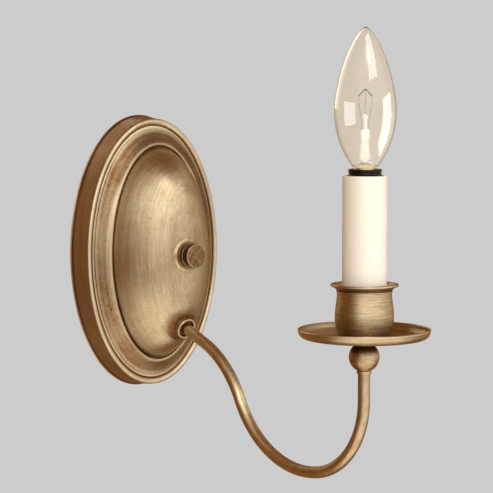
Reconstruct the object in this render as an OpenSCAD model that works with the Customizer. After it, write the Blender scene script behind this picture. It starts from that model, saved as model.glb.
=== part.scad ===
// Single-arm electric candle wall sconce, in millimetres.
// The wall is the plane y = 0 and the arm reaches out along -Y, with +Z up.
// The origin is on the wall, at the centre of the oval plate.
// "Depth" below is distance out from the wall, so a depth of 10 is y = -10.

/* [Oval wall plate] */
// Overall width of the plate over its back lip
plate_w = 98.4; // [88:0.1:122]
// Overall height of the plate over its back lip
plate_h = 158.8; // [130:0.1:196]
// Thickness of the stamped sheet
sheet_t = 1.0; // [0.6:0.1:1.2]
// Depth of the outer bead's crest
rim_depth = 16; // [13:0.1:20]
// Taper of the side wall, from the back lip to the bead
rim_draft = 1.1; // [0.5:0.1:2.5]
// Width of the moulded band at the left and right sides
band_side = 16.4; // [14:0.1:19]
// Width of the moulded band at the top and bottom ends
band_end = 18.6; // [14:0.1:23]
// Depth of the foot of the dome
dome_foot = 19.4; // [17:0.1:21]
// Height of the dome above its foot
dome_rise = 27.3; // [22.5:0.1:33]

/* [Wall fixing] */
// Length of the crossbar
bar_len = 102; // [96:1:124]
// Width of the crossbar
bar_w = 19; // [14:0.5:24]
// Thickness of the crossbar
bar_t = 2; // [1.6:0.1:3]
// Distance between the centres of the two slots
slot_pitch = 79.4; // [70:0.1:86]
// Length of each slot, end to end
slot_len = 14; // [8:0.5:16]
// Width of each slot
slot_w = 4.4; // [3.8:0.1:5.4]
// Diameter of the threaded centre stud
stud_d = 6.3; // [5:0.1:7]
// Pitch of the stud's thread
stud_pitch = 0.94; // [0.8:0.01:1.3]

/* [Cap knob] */
// Diameter of the knob
knob_d = 13.3; // [11:0.1:16]
// Length of the knob
knob_len = 6.5; // [5.4:0.1:8]
// Width of the neck groove round the knob
knob_groove = 1.6; // [1:0.1:2]
// Diameter of the washer under the knob
knob_washer_d = 15; // [13:0.1:18]

/* [Arm] */
// Outside diameter of the arm tube
arm_d = 6.35; // [5.4:0.05:7.6]
// Wall thickness of the arm tube
arm_wall = 0.8; // [0.6:0.05:1]
// How far below the plate's centre the arm leaves the dome
arm_drop = 41; // [34:0.5:46]
// Downward slope of the arm where it leaves the dome
arm_dip = 22; // [16:1:30]
// Straight length before the first bend
neck_run = 21.2; // [17:0.1:26]
// Radius of the first bend, which turns the arm down
shoulder_r = 59; // [49:0.5:71]
// Steepest slope of the arm
arm_steep = 62; // [56:1:68]
// Radius of the last bend, which turns the arm up
riser_r = 43.3; // [36:0.1:52]
// Depth of the candle's axis
reach = 191.8; // [158:0.1:231]
// Diameter of the cup-shaped seat ring
seat_d = 12.4; // [11:0.1:15]
// Height of the seat ring
seat_h = 3.4; // [2.8:0.1:4.2]

/* [Drip pan and candle cup] */
// Diameter of the ball under the pan
ball_d = 15.8; // [13:0.1:19]
// Height of the ball's centre, relative to the plate's centre
ball_z = -43; // [-50:0.5:-36]
// Diameter of the drip pan over its rim
pan_d = 68.4; // [57:0.1:82]
// Height of the pan's rim above its hub
pan_h = 7.4; // [6:0.1:9]
// Diameter of the cup over its flared lip
cup_d = 35; // [31:0.1:42]
// Diameter of the cup's belly
belly_d = 30.4; // [29.6:0.1:34]
// Height of the cup
cup_h = 29.6; // [26:0.1:35]
// Thickness of the turned brass in the pan and the cup
spun_t = 1.0; // [0.8:0.1:1.2]

/* [Candle sleeve and socket] */
// Outside diameter of the candle sleeve
sleeve_d = 23; // [22.4:0.1:23.8]
// Wall of the candle sleeve
sleeve_wall = 1.0; // [0.7:0.1:1.2]
// Height of the sleeve's top edge above the plate's centre
sleeve_top = 50.1; // [46:0.1:60]
// How far the socket's rim stands above the sleeve
socket_proud = 3.4; // [2:0.1:5]
// Diameter of the socket's rim
socket_rim_d = 17.2; // [16:0.1:18.4]
// Bore of the socket's screw shell
shell_bore = 11.92; // [11.8:0.02:12.1]

/* [Bulb] */
// Largest diameter of the bulb's glass
bulb_d = 31.75; // [27:0.05:38]
// Height of the glass above the socket's rim
bulb_h = 72; // [60:0.1:86]
// Length of the bulb's base inside the socket
base_len = 26.5; // [23:0.1:28]
// Pitch of the bulb's screw thread
bulb_pitch = 2.54; // [2.54:0.01:2.54]

/* [Hidden] */
$fn = 64;

brass = "#9c8050";
dark_brass = "#6b5430";
steel = "#b9bcc0";
black = "#1c1c1e";
ivory = "#f4ead2";
slip = 0.05;         // radial clearance of a thread or a running fit
loose = 0.3;         // radial clearance of a plain hole
seam = 0.05;         // gap at a seam between two lengths of tube or lead
band_t = 0.01;       // height of the band that closes it
plate_sides = 56;    // facets round the oval plate

// ---- Oval plate: rings of [half width, half height, depth] ----
plate_a = plate_w / 2;
plate_b = plate_h / 2;
dome_a = plate_a - band_side;
dome_b = plate_b - band_end;
dome_fall = 2.4;     // exponents of the dome's outline, foot to crown
dome_round = 0.8;
dome_long = 0.58;    // makes the crown longer up and down than across
crown = dome_foot + dome_rise;

// Depth of the dome at g, which runs from 0 at the crown to 1 at its foot
function dome_depth(g) = dome_foot + dome_rise * pow(1 - pow(g, dome_fall), dome_round);
function dome_ring(g, skin = 0) = [
    (dome_a - skin) * g,
    (dome_b - skin) * pow(g, dome_long),
    dome_depth(g) - skin
];
// A ring of the moulded band: w runs from 0 at the back lip to 1 at the dome
function band_ring(w, depth) = [plate_a - band_side * w, plate_b - band_end * w, depth];
function mix(a, b, t) = a + (b - a) * t;

lip_r = 0.8;         // rolled lip at the back edge
bead_r = 1.5;        // outer bead
lip_w = lip_r / band_side;
wall_w = (lip_r + rim_draft) / band_side;
bead_w = wall_w + bead_r / band_side;
bead_in_w = wall_w + 2 * bead_r / band_side;
bead_side = rim_depth - bead_r;
valley = rim_depth - 1.9;          // groove inside the bead
ridge_depth = dome_foot + 1.4;     // thin ridge round the dome

lip_rings = [for (i = [0:3]) let (t = 180 * i / 3)
    band_ring(lip_w * (1 - sin(t)), lip_r * (1 - cos(t)))];
bead_rings = [for (i = [0:6]) let (t = 180 * i / 6)
    band_ring(bead_w - bead_r / band_side * cos(t), bead_side + bead_r * sin(t))];
cove_rings = [for (i = [0:4]) let (t = i / 4)
    band_ring(mix(0.35, 0.84, t), mix(valley + 0.9, ridge_depth - 0.4, pow(t, 1.5)))];
ridge_rings = [
    band_ring(0.885, ridge_depth), band_ring(0.925, ridge_depth - 0.1),
    band_ring(0.955, dome_foot + 0.3)
];
dome_steps = [1, 0.985, 0.955, 0.91, 0.84, 0.75, 0.64, 0.52, 0.39, 0.27, 0.16, 0.07];
front_rings = concat(
    [band_ring(lip_w * 1.6, 0)], lip_rings, bead_rings,
    [band_ring(bead_in_w + 0.012, valley), band_ring(0.33, valley + 0.1)],
    cove_rings, ridge_rings, [for (g = dome_steps) dome_ring(g)]
);
back_rings = concat(
    [for (i = [len(dome_steps) - 1:-2:1]) dome_ring(dome_steps[i], sheet_t)],
    [
        dome_ring(1, sheet_t),
        band_ring(0.84, ridge_depth - 0.4 - sheet_t * 1.3),
        band_ring(0.55, mix(valley, ridge_depth, 0.42) - sheet_t),
        band_ring(bead_in_w + 0.04, valley - sheet_t),
        band_ring(wall_w + sheet_t / band_side, valley - sheet_t),
        band_ring(lip_w + sheet_t / band_side + 0.02, 0)
    ]
);

function ring_points(ring, sides) = [for (i = [0:sides - 1]) let (t = 360 * i / sides)
    [ring[0] * cos(t), ring[1] * sin(t), ring[2]]];

// Closed stamped sheet: its front rings run from the wall to the crown, its back rings return
module stamped_sheet(front, back, sides) {
    rings = concat(front, back);
    n = sides;
    points = [for (ring = rings) each ring_points(ring, n)];
    last = len(rings) - 1;
    crown_ring = len(front) - 1;
    walls = [for (k = [0:last]) if (k != crown_ring) for (i = [0:n - 1])
        let (k2 = k == last ? 0 : k + 1, j = (i + 1) % n)
        each [[k * n + i, k2 * n + j, k * n + j], [k * n + i, k2 * n + i, k2 * n + j]]];
    caps = [
        [for (i = [0:n - 1]) crown_ring * n + n - 1 - i],
        [for (i = [0:n - 1]) (crown_ring + 1) * n + i]
    ];
    polyhedron(points = points, faces = concat(walls, caps), convexity = 8);
}

// ---- Arm: its centreline is in the plane x = 0, as [depth, height] ----
seat_g = pow(arm_drop / dome_b, 1 / dome_long);
seat_at = [dome_depth(seat_g), -arm_drop];
neck_end = seat_at + neck_run * [cos(arm_dip), -sin(arm_dip)];
shoulder_c = neck_end + shoulder_r * [-sin(arm_dip), -cos(arm_dip)];
steep_start = shoulder_c + shoulder_r * [sin(arm_steep), cos(arm_steep)];
steep_run = 2;       // straight length between the two main bends
steep_end = steep_start + steep_run * [cos(arm_steep), -sin(arm_steep)];
belly_turn = 10;     // rise of the arm where the big bend meets the last one
// The big bend takes up whatever reach is left
belly_r = (reach - steep_end[0] - riser_r * (1 - sin(belly_turn)))
    / (sin(arm_steep) + sin(belly_turn));
belly_c = steep_end + belly_r * [sin(arm_steep), cos(arm_steep)];
belly_end = belly_c + belly_r * [sin(belly_turn), -cos(belly_turn)];
riser_c = belly_end + riser_r * [-sin(belly_turn), cos(belly_turn)];
riser_start = riser_c[1];
arm_r = arm_d / 2;
arm_bore_r = arm_r - arm_wall;

pad_h = 0.3;                      // flat seat that stands out from the dome
pad_in = sheet_t + 1.8;           // and reaches behind it
washer_t = 1;
arm_washer_r = seat_d / 2 - 0.4;  // clears the dome's inside, which curves away from the seat
nut_t = 3;
arm_inner = pad_in + washer_t + nut_t + 2;   // tube behind the dome's face
seat_floor = 1;

// ---- Candle stack, from the ball up ----
ball_r = ball_d / 2;
ball_land = 0.076;                // the flats reach this far past the arm's tube
ball_flat = round(1000 * sqrt(pow(ball_r, 2) - pow(arm_r + ball_land, 2))) / 1000;  // their height from the centre
ferrule_h = 1.5;
tube_socket = 4.5;                // how far the arm enters the ball
arm_top = ball_z - ball_flat + tube_socket;
nipple_r = 3.2;
nipple_bore_r = 2.3;
nipple_seat = 5;                  // how far the nipple enters the ball
pan_z = ball_z + ball_flat;       // underside of the pan's hub
cup_z = pan_z + spun_t;           // underside of the cup
cup_floor = cup_z + spun_t;
bracket_t = 1.2;
bracket_nut_t = 3;
nut_z = cup_floor + bracket_t;
nipple_top = nut_z + bracket_nut_t + 2;
nipple_z = pan_z - nipple_seat;

pan_r = pan_d / 2;
cup_r = cup_d / 2;
belly_r2 = belly_d / 2;
cup_foot_r = 9.6;
waist_r = belly_r2 - 1.1;

sleeve_r = sleeve_d / 2;
sleeve_bore_r = sleeve_r - sleeve_wall;
sleeve_z = cup_z + 5.6;
socket_top = sleeve_top + socket_proud;
socket_h = 38.4;
socket_z = socket_top - socket_h;
socket_rim_r = socket_rim_d / 2;
shoulder_gap = 0.4;
socket_shoulder_r = sleeve_bore_r - shoulder_gap;
socket_body_r = socket_rim_r + 0.3;
shell_r = shell_bore / 2;
shell_t = 0.5;
well_z = socket_top - 29.5;       // floor of the socket's well
terminal_x = 4.4;                 // leads and terminals, either side of the axis
terminal_t = 0.6;
tab_w = 2.4;

// ---- Bulb ----
bulb_r = bulb_d / 2;
glass_t = 0.7;
glass_z = socket_top + 1;         // foot of the visible glass
glass_top = socket_top + bulb_h;
widest_z = mix(glass_z, glass_top, 0.416);
neck_share = 0.4;                 // neck radius as a share of the widest radius
base_r = shell_r - slip;
base_z = socket_top - base_len;   // lowest point of the tip contact
base_shell_z = base_z + 4;
base_top = socket_top + 0.7;
contact_gap = 0.1;

function bulb_low(u) = bulb_r * (1 - (1 - neck_share) * pow(u, 2.3));
function bulb_high(t) = bulb_r * pow(1 - pow(t, 1.55), 0.66);
function glass_outline(skin) = concat(
    [for (i = [0:7]) let (u = 1 - i / 8)
        [bulb_low(u) - skin, mix(widest_z, glass_z, u)]],
    [for (i = [0:15]) let (t = 1 - pow(1 - i / 16, 1.5))
        [max(bulb_high(t) - skin, 0.05), mix(widest_z, glass_top, t)]],
    [[0, glass_top - skin]]
);

// ---- Leads ----
lead_r = 0.9;
lead_gap = 1.05;     // offset of each lead from the tube's centreline
tail_run = 3;
tail_bend_r = 8;
tail_turn = 55;
tail_end = 10;
fan_r = 10;          // the leads fan out under the socket
fan_turn = 25;
// Straight length between the fan's two bends, which sets the terminals' spacing
fan_run = (terminal_x - lead_gap - 2 * fan_r * (1 - cos(fan_turn))) / sin(fan_turn);
fan_z = nipple_top + 4;
fan_top = fan_z + 2 * fan_r * sin(fan_turn) + fan_run * cos(fan_turn);
connector_r = 4.6;
connector_l = 17;
connector_bite = 6;

// Puts a part made along +Z onto an axis that points straight out from the wall
module outward(depth = 0, z = 0) translate([0, -depth, z]) rotate([90, 0, 0]) children();
// Puts a part made along +Z onto the arm's axis at its seat on the dome
module on_arm_seat() translate([0, -seat_at[0], seat_at[1]]) rotate([90 + arm_dip, 0, 0]) children();
// Puts a part made along +Z onto the candle's axis
module on_candle(z = 0) translate([0, -reach, z]) children();
// Plane of the arm: X is depth, Y is height, Z is across
module arm_plane() rotate([90, 0, -90]) children();

module hex(flats, h) cylinder(d = flats / cos(30), h = h, $fn = 6);
module ring(r_out, r_in, h) difference() {
    cylinder(r = r_out, h = h);
    translate([0, 0, -1]) cylinder(r = r_in, h = h + 2);
}
module hex_nut(flats, h, bore_r) difference() {
    hex(flats, h);
    translate([0, 0, -1]) cylinder(r = bore_r, h = h + 2);
}
module slot_hole(len, w, h) {
    run = (len - w) / 2;
    for (s = [-1, 1]) translate([0, s * run, 0]) cylinder(d = w, h = h);
    translate([-w / 2, -run, 0]) cube([w, 2 * run, h]);
}

// One round length of the arm's centreline, hollow where bore is above 0
module arm_section(r, bore, across) {
    translate([0, across]) difference() {
        circle(r = r);
        if (bore > 0) circle(r = bore);
    }
}
module arm_straight(at, angle, len, r, bore, across) {
    translate([at[0], at[1], 0]) rotate([0, 0, angle]) rotate([90, 0, 90])
        linear_extrude(height = len) arm_section(r, bore, across);
}
module arm_bend(centre, bend_r, from, to, r, bore, across) {
    translate([centre[0], centre[1], 0]) rotate([0, 0, from])
        rotate_extrude(angle = to - from, $fn = 96)
            translate([bend_r, 0]) arm_section(r, bore, across);
}
// Thin band over a seam between two lengths, which makes them one solid
module arm_band(at, angle, r, bore, across) {
    arm_straight(at - seam * 2 * [cos(angle), sin(angle)], angle, seam * 4,
        r + band_t, bore > 0 ? bore - band_t : 0, across);
}
// The whole arm path, from behind the dome to height top. Lengths stop just short of each seam.
module arm_path(r, bore, across, behind, top) {
    start = seat_at - behind * [cos(arm_dip), -sin(arm_dip)];
    steep_dir = [cos(arm_steep), -sin(arm_steep)];
    arm_plane() {
        arm_straight(start, -arm_dip, neck_run + behind - seam, r, bore, across);
        arm_bend(shoulder_c, shoulder_r, 90 - arm_steep, 90 - arm_dip, r, bore, across);
        arm_straight(steep_start + seam * steep_dir, -arm_steep, steep_run - 2 * seam, r, bore, across);
        arm_bend(belly_c, belly_r, -90 - arm_steep, -90 + belly_turn, r, bore, across);
        arm_bend(riser_c, riser_r, -90 + belly_turn + 0.1, 0, r, bore, across);
        arm_straight([reach, riser_start + seam], 90, top - riser_start - seam, r, bore, across);
        arm_band(neck_end, -arm_dip, r, bore, across);
        arm_band(steep_start, -arm_steep, r, bore, across);
        arm_band(steep_end, -arm_steep, r, bore, across);
        arm_band(belly_end, belly_turn, r, bore, across);
        arm_band([reach, riser_start], 90, r, bore, across);
    }
}

// ================= Wall plate and fixing =================

module backplate() color(brass) difference() {
    union() {
        outward() stamped_sheet(front_rings, back_rings, plate_sides);
        outward(crown - pad_in) cylinder(r1 = knob_washer_d / 2 + 1.6, r2 = knob_washer_d / 2 + 0.7,
            h = pad_in + pad_h);
        on_arm_seat() translate([0, 0, -pad_in]) cylinder(r = seat_d / 2 + 1.2, h = pad_in + pad_h);
    }
    outward(crown - pad_in - 1) cylinder(r = stud_d / 2 + loose, h = pad_in + 3);
    on_arm_seat() translate([0, 0, -pad_in - 1]) cylinder(r = arm_r + slip, h = pad_in + 3);
    on_arm_seat() translate([0, 0, pad_h]) cylinder(r = seat_d / 2 + slip, h = seat_h);
}

module crossbar() color(steel) outward() difference() {
    union() {
        translate([-bar_w / 2, -bar_len / 2 + bar_w / 2, 0]) cube([bar_w, bar_len - bar_w, bar_t]);
        for (s = [-1, 1]) translate([0, s * (bar_len - bar_w) / 2, 0]) cylinder(d = bar_w, h = bar_t);
    }
    for (s = [-1, 1]) translate([0, s * slot_pitch / 2, -1]) slot_hole(slot_len, slot_w, bar_t + 2);
    translate([0, 0, -1]) cylinder(d = stud_d, h = bar_t + 2);
    translate([0, ground_z, -1]) cylinder(r = ground_r, h = bar_t + 2);
}

stud_in_knob = knob_len - 1.5;
knob_z = crown + pad_h + washer_t;
module center_stud() color(dark_brass) outward() {
    tip = 0.6;
    cylinder(d = stud_d, h = knob_z + stud_in_knob - tip);
    translate([0, 0, knob_z + stud_in_knob - tip]) cylinder(r1 = stud_d / 2, r2 = stud_d / 2 - tip, h = tip);
}

module stud_lock_nut() color(steel) outward(bar_t) hex_nut(11.1, 3.2, stud_d / 2);

ground_z = -20;
ground_r = 2.05;
ground_head_r = 4.2;
ground_head_h = 2.4;
module ground_screw() color("#2f7a44") outward(0, ground_z) difference() {
    union() {
        cylinder(r = ground_r, h = bar_t);
        translate([0, 0, bar_t]) hex(2 * ground_head_r * cos(30), ground_head_h - 0.8);
        translate([0, 0, bar_t]) cylinder(r = ground_head_r + 0.5, h = 0.7);
        translate([0, 0, bar_t + ground_head_h - 0.8]) cylinder(r1 = 3.5, r2 = 2.9, h = 0.8);
    }
    translate([-ground_head_r - 1, -0.5, bar_t + ground_head_h - 1.2]) cube([2 * ground_head_r + 2, 1, 2]);
}

// Bare copper lead, swept along one curve from the arm's inner washer to the ground screw
ground_lead_r = 0.7;
ground_sides = 8;
ground_rings = 22;
washer_top = seat_at
    - (pad_in + washer_t + ground_lead_r) * [cos(arm_dip), -sin(arm_dip)]
    + (arm_washer_r - 0.2) * [sin(arm_dip), cos(arm_dip)];
ground_route = [
    washer_top, washer_top + [-9, 9],
    [18, ground_z + 16],
    [bar_t + 4, ground_z + 11], [bar_t + ground_lead_r, ground_z + ground_head_r + 1.6]
];
function bezier(p, t) = len(p) == 1 ? p[0]
    : bezier([for (i = [0:len(p) - 2]) p[i] + (p[i + 1] - p[i]) * t], t);
module ground_lead() color("#b87545") {
    steps = [for (i = [0:ground_rings - 1]) i / (ground_rings - 1)];
    points = [for (t = steps) let (
            c = bezier(ground_route, t),
            d = bezier(ground_route, min(t + 0.01, 1)) - bezier(ground_route, max(t - 0.01, 0)),
            side = [-d[1], d[0]] / norm(d))
        for (i = [0:ground_sides - 1]) let (a = 360 * i / ground_sides,
            q = c + ground_lead_r * cos(a) * side)
        [ground_lead_r * sin(a), -q[0], q[1]]];
    walls = [for (k = [0:ground_rings - 2], i = [0:ground_sides - 1]) let (j = (i + 1) % ground_sides)
        each [
            [k * ground_sides + i, k * ground_sides + j, (k + 1) * ground_sides + j],
            [k * ground_sides + i, (k + 1) * ground_sides + j, (k + 1) * ground_sides + i]
        ]];
    ends = [
        [for (i = [0:ground_sides - 1]) ground_sides - 1 - i],
        [for (i = [0:ground_sides - 1]) (ground_rings - 1) * ground_sides + i]
    ];
    polyhedron(points = points, faces = concat(walls, ends), convexity = 4);
}

module knob_washer() color(brass) outward(crown + pad_h) ring(knob_washer_d / 2, stud_d / 2 + slip, washer_t);

module cap_knob() color(dark_brass) outward(knob_z) difference() {
    r = knob_d / 2;
    edge = 0.4;
    neck = (knob_len - knob_groove) * 0.38;
    groove_in = 1.1;
    rotate_extrude() polygon([
        [0, 0], [r - edge, 0], [r, edge], [r, neck - edge], [r - edge, neck],
        [r - groove_in, neck + 0.2], [r - groove_in, neck + knob_groove - 0.2],
        [r - edge, neck + knob_groove], [r, neck + knob_groove + edge],
        [r, knob_len - edge], [r - edge, knob_len], [0, knob_len]
    ]);
    translate([0, 0, -1]) cylinder(r = stud_d / 2 + slip, h = stud_in_knob + 1.2);
}

// ================= Arm =================

module arm_seat_ring() color(brass) on_arm_seat() translate([0, 0, pad_h]) rotate_extrude() {
    r = seat_d / 2;
    wall = 1.3;
    translate([arm_r + slip, 0]) square([r - arm_r - slip, seat_floor]);
    translate([r - wall, 0]) square([wall, seat_h - wall / 2]);
    translate([r - wall / 2, seat_h - wall / 2]) circle(d = wall, $fn = 24);
}

module arm_tube() color(brass) arm_path(arm_r, arm_bore_r, 0, arm_inner, arm_top);

module arm_inner_washer() color(steel) on_arm_seat() translate([0, 0, -pad_in - washer_t])
    ring(arm_washer_r, arm_r, washer_t);

module arm_lock_nut() color(brass) on_arm_seat() translate([0, 0, -pad_in - washer_t - nut_t])
    hex_nut(1.5 * arm_d, nut_t, arm_r);

module arm_ferrule() color(brass) on_candle(ball_z - ball_flat - ferrule_h) rotate_extrude() {
    r = arm_r + 0.65;
    edge = 0.3;
    polygon([
        [arm_r, 0], [r - edge, 0], [r, edge], [r, ferrule_h - edge], [r - edge, ferrule_h], [arm_r, ferrule_h]
    ]);
}

module neck_ball() color(brass) on_candle(ball_z) difference() {
    intersection() {
        sphere(r = ball_r);
        translate([0, 0, -ball_flat]) cylinder(r = ball_r + 1, h = 2 * ball_flat);
    }
    translate([0, 0, -ball_flat - 1]) cylinder(r = arm_r, h = tube_socket + 1);
    translate([0, 0, -ball_flat]) cylinder(r = nipple_bore_r, h = 2 * ball_flat);
    translate([0, 0, ball_flat - nipple_seat]) cylinder(r = nipple_r, h = nipple_seat + 1);
}

// ================= Drip pan, cup and socket =================

// Shallow pan: flat hub, gentle slope, then a rounded wall with a thick turned edge
pan_curve_r = 4.6;
pan_rise = 2.2;      // height gained on the slope
pan_bend_x = pan_r - pan_curve_r;
module bobeche() color(brass) on_candle(pan_z) rotate_extrude($fn = 96) {
    hub_r = 12;
    wall_c = [pan_bend_x, pan_rise + pan_curve_r];
    edge_r = 0.75;
    edge_c = [pan_r - edge_r, pan_h - edge_r];
    outer = [for (i = [1:5]) let (t = -90 + 14 * i) wall_c + pan_curve_r * [cos(t), sin(t)]];
    inner = [for (i = [5:-1:1]) let (t = -90 + 14 * i)
        wall_c + (pan_curve_r - spun_t) * [cos(t), sin(t)]];
    edge = [for (i = [0:6]) let (t = -30 + 30 * i) edge_c + edge_r * [cos(t), sin(t)]];
    polygon(concat(
        [[nipple_r, 0], [hub_r, 0]], [[pan_bend_x, pan_rise]], outer, edge, inner,
        [[pan_bend_x, pan_rise + spun_t], [hub_r, spun_t], [nipple_r, spun_t]]
    ));
}

// Cup outline from foot to lip; skin shrinks it for the inside
function cup_outline(skin) = concat(
    [for (i = [0:6]) let (t = -90 + 15 * i)
        [cup_foot_r + (belly_r2 - cup_foot_r) * cos(t) - skin * cos(t),
         mix(0, cup_h * 0.42, 1 + sin(t)) - skin * sin(t)]],
    [for (i = [1:5]) let (u = i / 5)
        [mix(belly_r2, waist_r, (1 - cos(180 * u)) / 2) - skin, mix(cup_h * 0.42, cup_h * 0.85, u)]]
);
module candle_cup() color(brass) on_candle(cup_z) rotate_extrude($fn = 96) {
    ledge = 0.35;
    lip_bead = 0.75;
    flare_z = cup_h * 0.87;
    lip_c = [cup_r - lip_bead, cup_h - lip_bead];
    polygon(concat(
        [[nipple_r, 0]], cup_outline(0),
        [[waist_r + ledge, cup_h * 0.855], [waist_r + ledge, flare_z], [waist_r + 1.2, flare_z + 1.1]],
        [for (i = [0:7]) let (t = -50 + 30 * i) lip_c + lip_bead * [cos(t), sin(t)]],
        [[waist_r - spun_t + 1.1, flare_z + 1.6], [waist_r - spun_t, flare_z + 0.2]],
        [for (i = [11:-1:0]) cup_outline(spun_t)[i]],
        [[nipple_r, spun_t]]
    ));
}

module riser_nipple() color(dark_brass) on_candle(nipple_z) ring(nipple_r, nipple_bore_r, nipple_top - nipple_z);

bracket_r = sleeve_bore_r - 1.6;
bracket_w = 9;
window_r = 6.4;
rivet_in = 5;           // how far the rivets enter the socket
bracket_top = socket_z;
strap_y = bracket_r - 0.9;
module socket_bracket() color(steel) on_candle() difference() {
    union() {
        translate([0, 0, cup_floor]) cylinder(r = bracket_r - 0.6, h = bracket_t);
        translate([0, 0, bracket_top - bracket_t]) cylinder(r = bracket_r, h = bracket_t);
        translate([-bracket_w / 2, strap_y - bracket_t, cup_floor])
            cube([bracket_w, bracket_t, bracket_top - cup_floor]);
    }
    translate([0, 0, cup_floor - 1]) cylinder(r = nipple_r, h = bracket_t + 2);
    translate([0, 0, bracket_top - bracket_t - 1]) cylinder(r = window_r, h = bracket_t + 2);
    for (s = [-1, 1]) translate([s * rivet_x, 0, bracket_top - bracket_t - 1])
        cylinder(r = rivet_r, h = bracket_t + 2);
    // Cable window in the strap
    translate([0, strap_y + 1, mix(cup_floor, bracket_top, 0.5)]) rotate([90, 0, 0])
        cylinder(r = 2.4, h = bracket_t + 2);
}

module bracket_nut() color(steel) on_candle(nut_z) hex_nut(11.1, bracket_nut_t, nipple_r);

rivet_r = 0.9;
rivet_x = (window_r + bracket_r) / 2;
module socket_rivets() color(dark_brass) on_candle() for (s = [-1, 1]) translate([s * rivet_x, 0, 0]) {
    translate([0, 0, bracket_top - bracket_t]) cylinder(r = rivet_r, h = bracket_t + rivet_in);
    translate([0, 0, bracket_top - bracket_t - 0.8]) cylinder(r1 = 0.8, r2 = 1.2, h = 0.8);
}

// Moulded socket: a floor with two terminal slots, a well for the screw shell, shoulder and rim
module socket_body() color(black) on_candle() {
    shoulder_h = 4;
    edge = 0.5;
    difference() {
        rotate_extrude($fn = 96) polygon([
            [0, bracket_top], [bracket_r, bracket_top], [socket_body_r, bracket_top + 3],
            [socket_body_r, sleeve_top - shoulder_h - 1.2], [socket_shoulder_r, sleeve_top - shoulder_h],
            [socket_shoulder_r, sleeve_top - edge], [socket_shoulder_r - edge, sleeve_top],
            [socket_rim_r, sleeve_top + 0.2], [socket_rim_r, socket_top - edge],
            [socket_rim_r - edge, socket_top], [0, socket_top]
        ]);
        translate([0, 0, well_z]) cylinder(r = shell_r + shell_t, h = 40);
        translate([0, 0, bracket_top - 1]) cylinder(r = contact_r, h = 20);
        translate([-terminal_x - tab_w / 2, -tab_w / 2, bracket_top - 1])
            cube([tab_w, tab_w, well_z - bracket_top + 2]);
        translate([0, -tab_w / 2, bracket_top - 1]) cube([terminal_x + tab_w / 2, tab_w, 1 + terminal_t]);
        for (s = [-1, 1]) translate([s * rivet_x, 0, bracket_top - 1]) cylinder(r = rivet_r, h = 1 + rivet_in);
    }
}

// Plain-bored screw shell with an inner foot, and a tab down to the neutral terminal
module socket_screw_shell() color("#c9a95e") on_candle() {
    shell_top = socket_top - 0.8;
    difference() {
        union() {
            translate([0, 0, well_z]) cylinder(r = shell_r + shell_t, h = shell_top - well_z);
            translate([-terminal_x - tab_w / 2, -tab_w / 2, bracket_top])
                cube([terminal_t, tab_w, well_z - bracket_top + 0.2]);
            translate([-terminal_x - tab_w / 2, -tab_w / 2, bracket_top]) cube([tab_w, tab_w, terminal_t]);
        }
        translate([0, 0, well_z + shell_t]) cylinder(r = shell_r, h = 40);
        translate([0, 0, well_z - 1]) cylinder(r = terminal_x - tab_w / 2, h = 3);
    }
}

// Centre contact: a rivet through the floor, a wide head in the well and a tail to the live terminal
contact_r = 1.3;
module socket_center_contact() color("#c9a95e") on_candle() {
    head_z = base_z - contact_gap;
    translate([0, 0, bracket_top]) cylinder(r = contact_r, h = head_z - bracket_top);
    translate([0, 0, head_z - 0.6]) cylinder(r = contact_r + 1, h = 0.6);
    translate([0, -tab_w / 2, bracket_top]) cube([terminal_x + tab_w / 2, tab_w, terminal_t]);
}

module candle_sleeve() color(ivory) on_candle(sleeve_z) ring(sleeve_r, sleeve_bore_r, sleeve_top - sleeve_z);

// ================= Leads =================

// Straight length of lead between two seams; children go on from its end
module lead_run(len) {
    translate([0, 0, seam]) cylinder(r = lead_r, h = len - ($children > 0 ? 2 : 1) * seam, $fn = 24);
    lead_band();
    translate([0, 0, len]) {
        if ($children > 0) lead_band();
        children();
    }
}
module lead_band() translate([0, 0, -2 * seam]) cylinder(r = lead_r + band_t, h = 4 * seam, $fn = 24);
// Bend in the plane X-Z, towards side; children go on from its end
module lead_bend(bend_r, turn, side) {
    translate([side * bend_r, 0, 0]) rotate([90, 0, 0]) mirror([side > 0 ? 1 : 0, 0, 0])
        rotate_extrude(angle = turn, $fn = 96) translate([bend_r, 0]) circle(r = lead_r, $fn = 24);
    translate([side * bend_r * (1 - cos(turn)), 0, bend_r * sin(turn)]) rotate([0, side * turn, 0])
        children();
}
// The two leads mirror each other: side is 1 or -1
module lead(side) {
    // Through the arm, the ball and the nipple
    arm_path(lead_r, 0, -side * lead_gap, arm_inner + tail_run - seam, fan_z - seam);
    // Inside the dome, out to the wire connector
    on_arm_seat() translate([side * lead_gap, 0, -arm_inner - tail_run]) rotate([180, 0, 0]) {
        lead_band();
        lead_bend(tail_bend_r, tail_turn, side) lead_run(tail_end);
    }
    // Fanned out to the terminal under the socket
    on_candle(fan_z) translate([side * lead_gap, 0, 0]) {
        lead_band();
        lead_bend(fan_r, fan_turn, side) lead_run(fan_run) lead_bend(fan_r, fan_turn, -side)
            lead_run(bracket_top - fan_top);
    }
}
module live_lead() color("#2b2b2d") lead(1);
module neutral_lead() color("#e9e6df") lead(-1);

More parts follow.
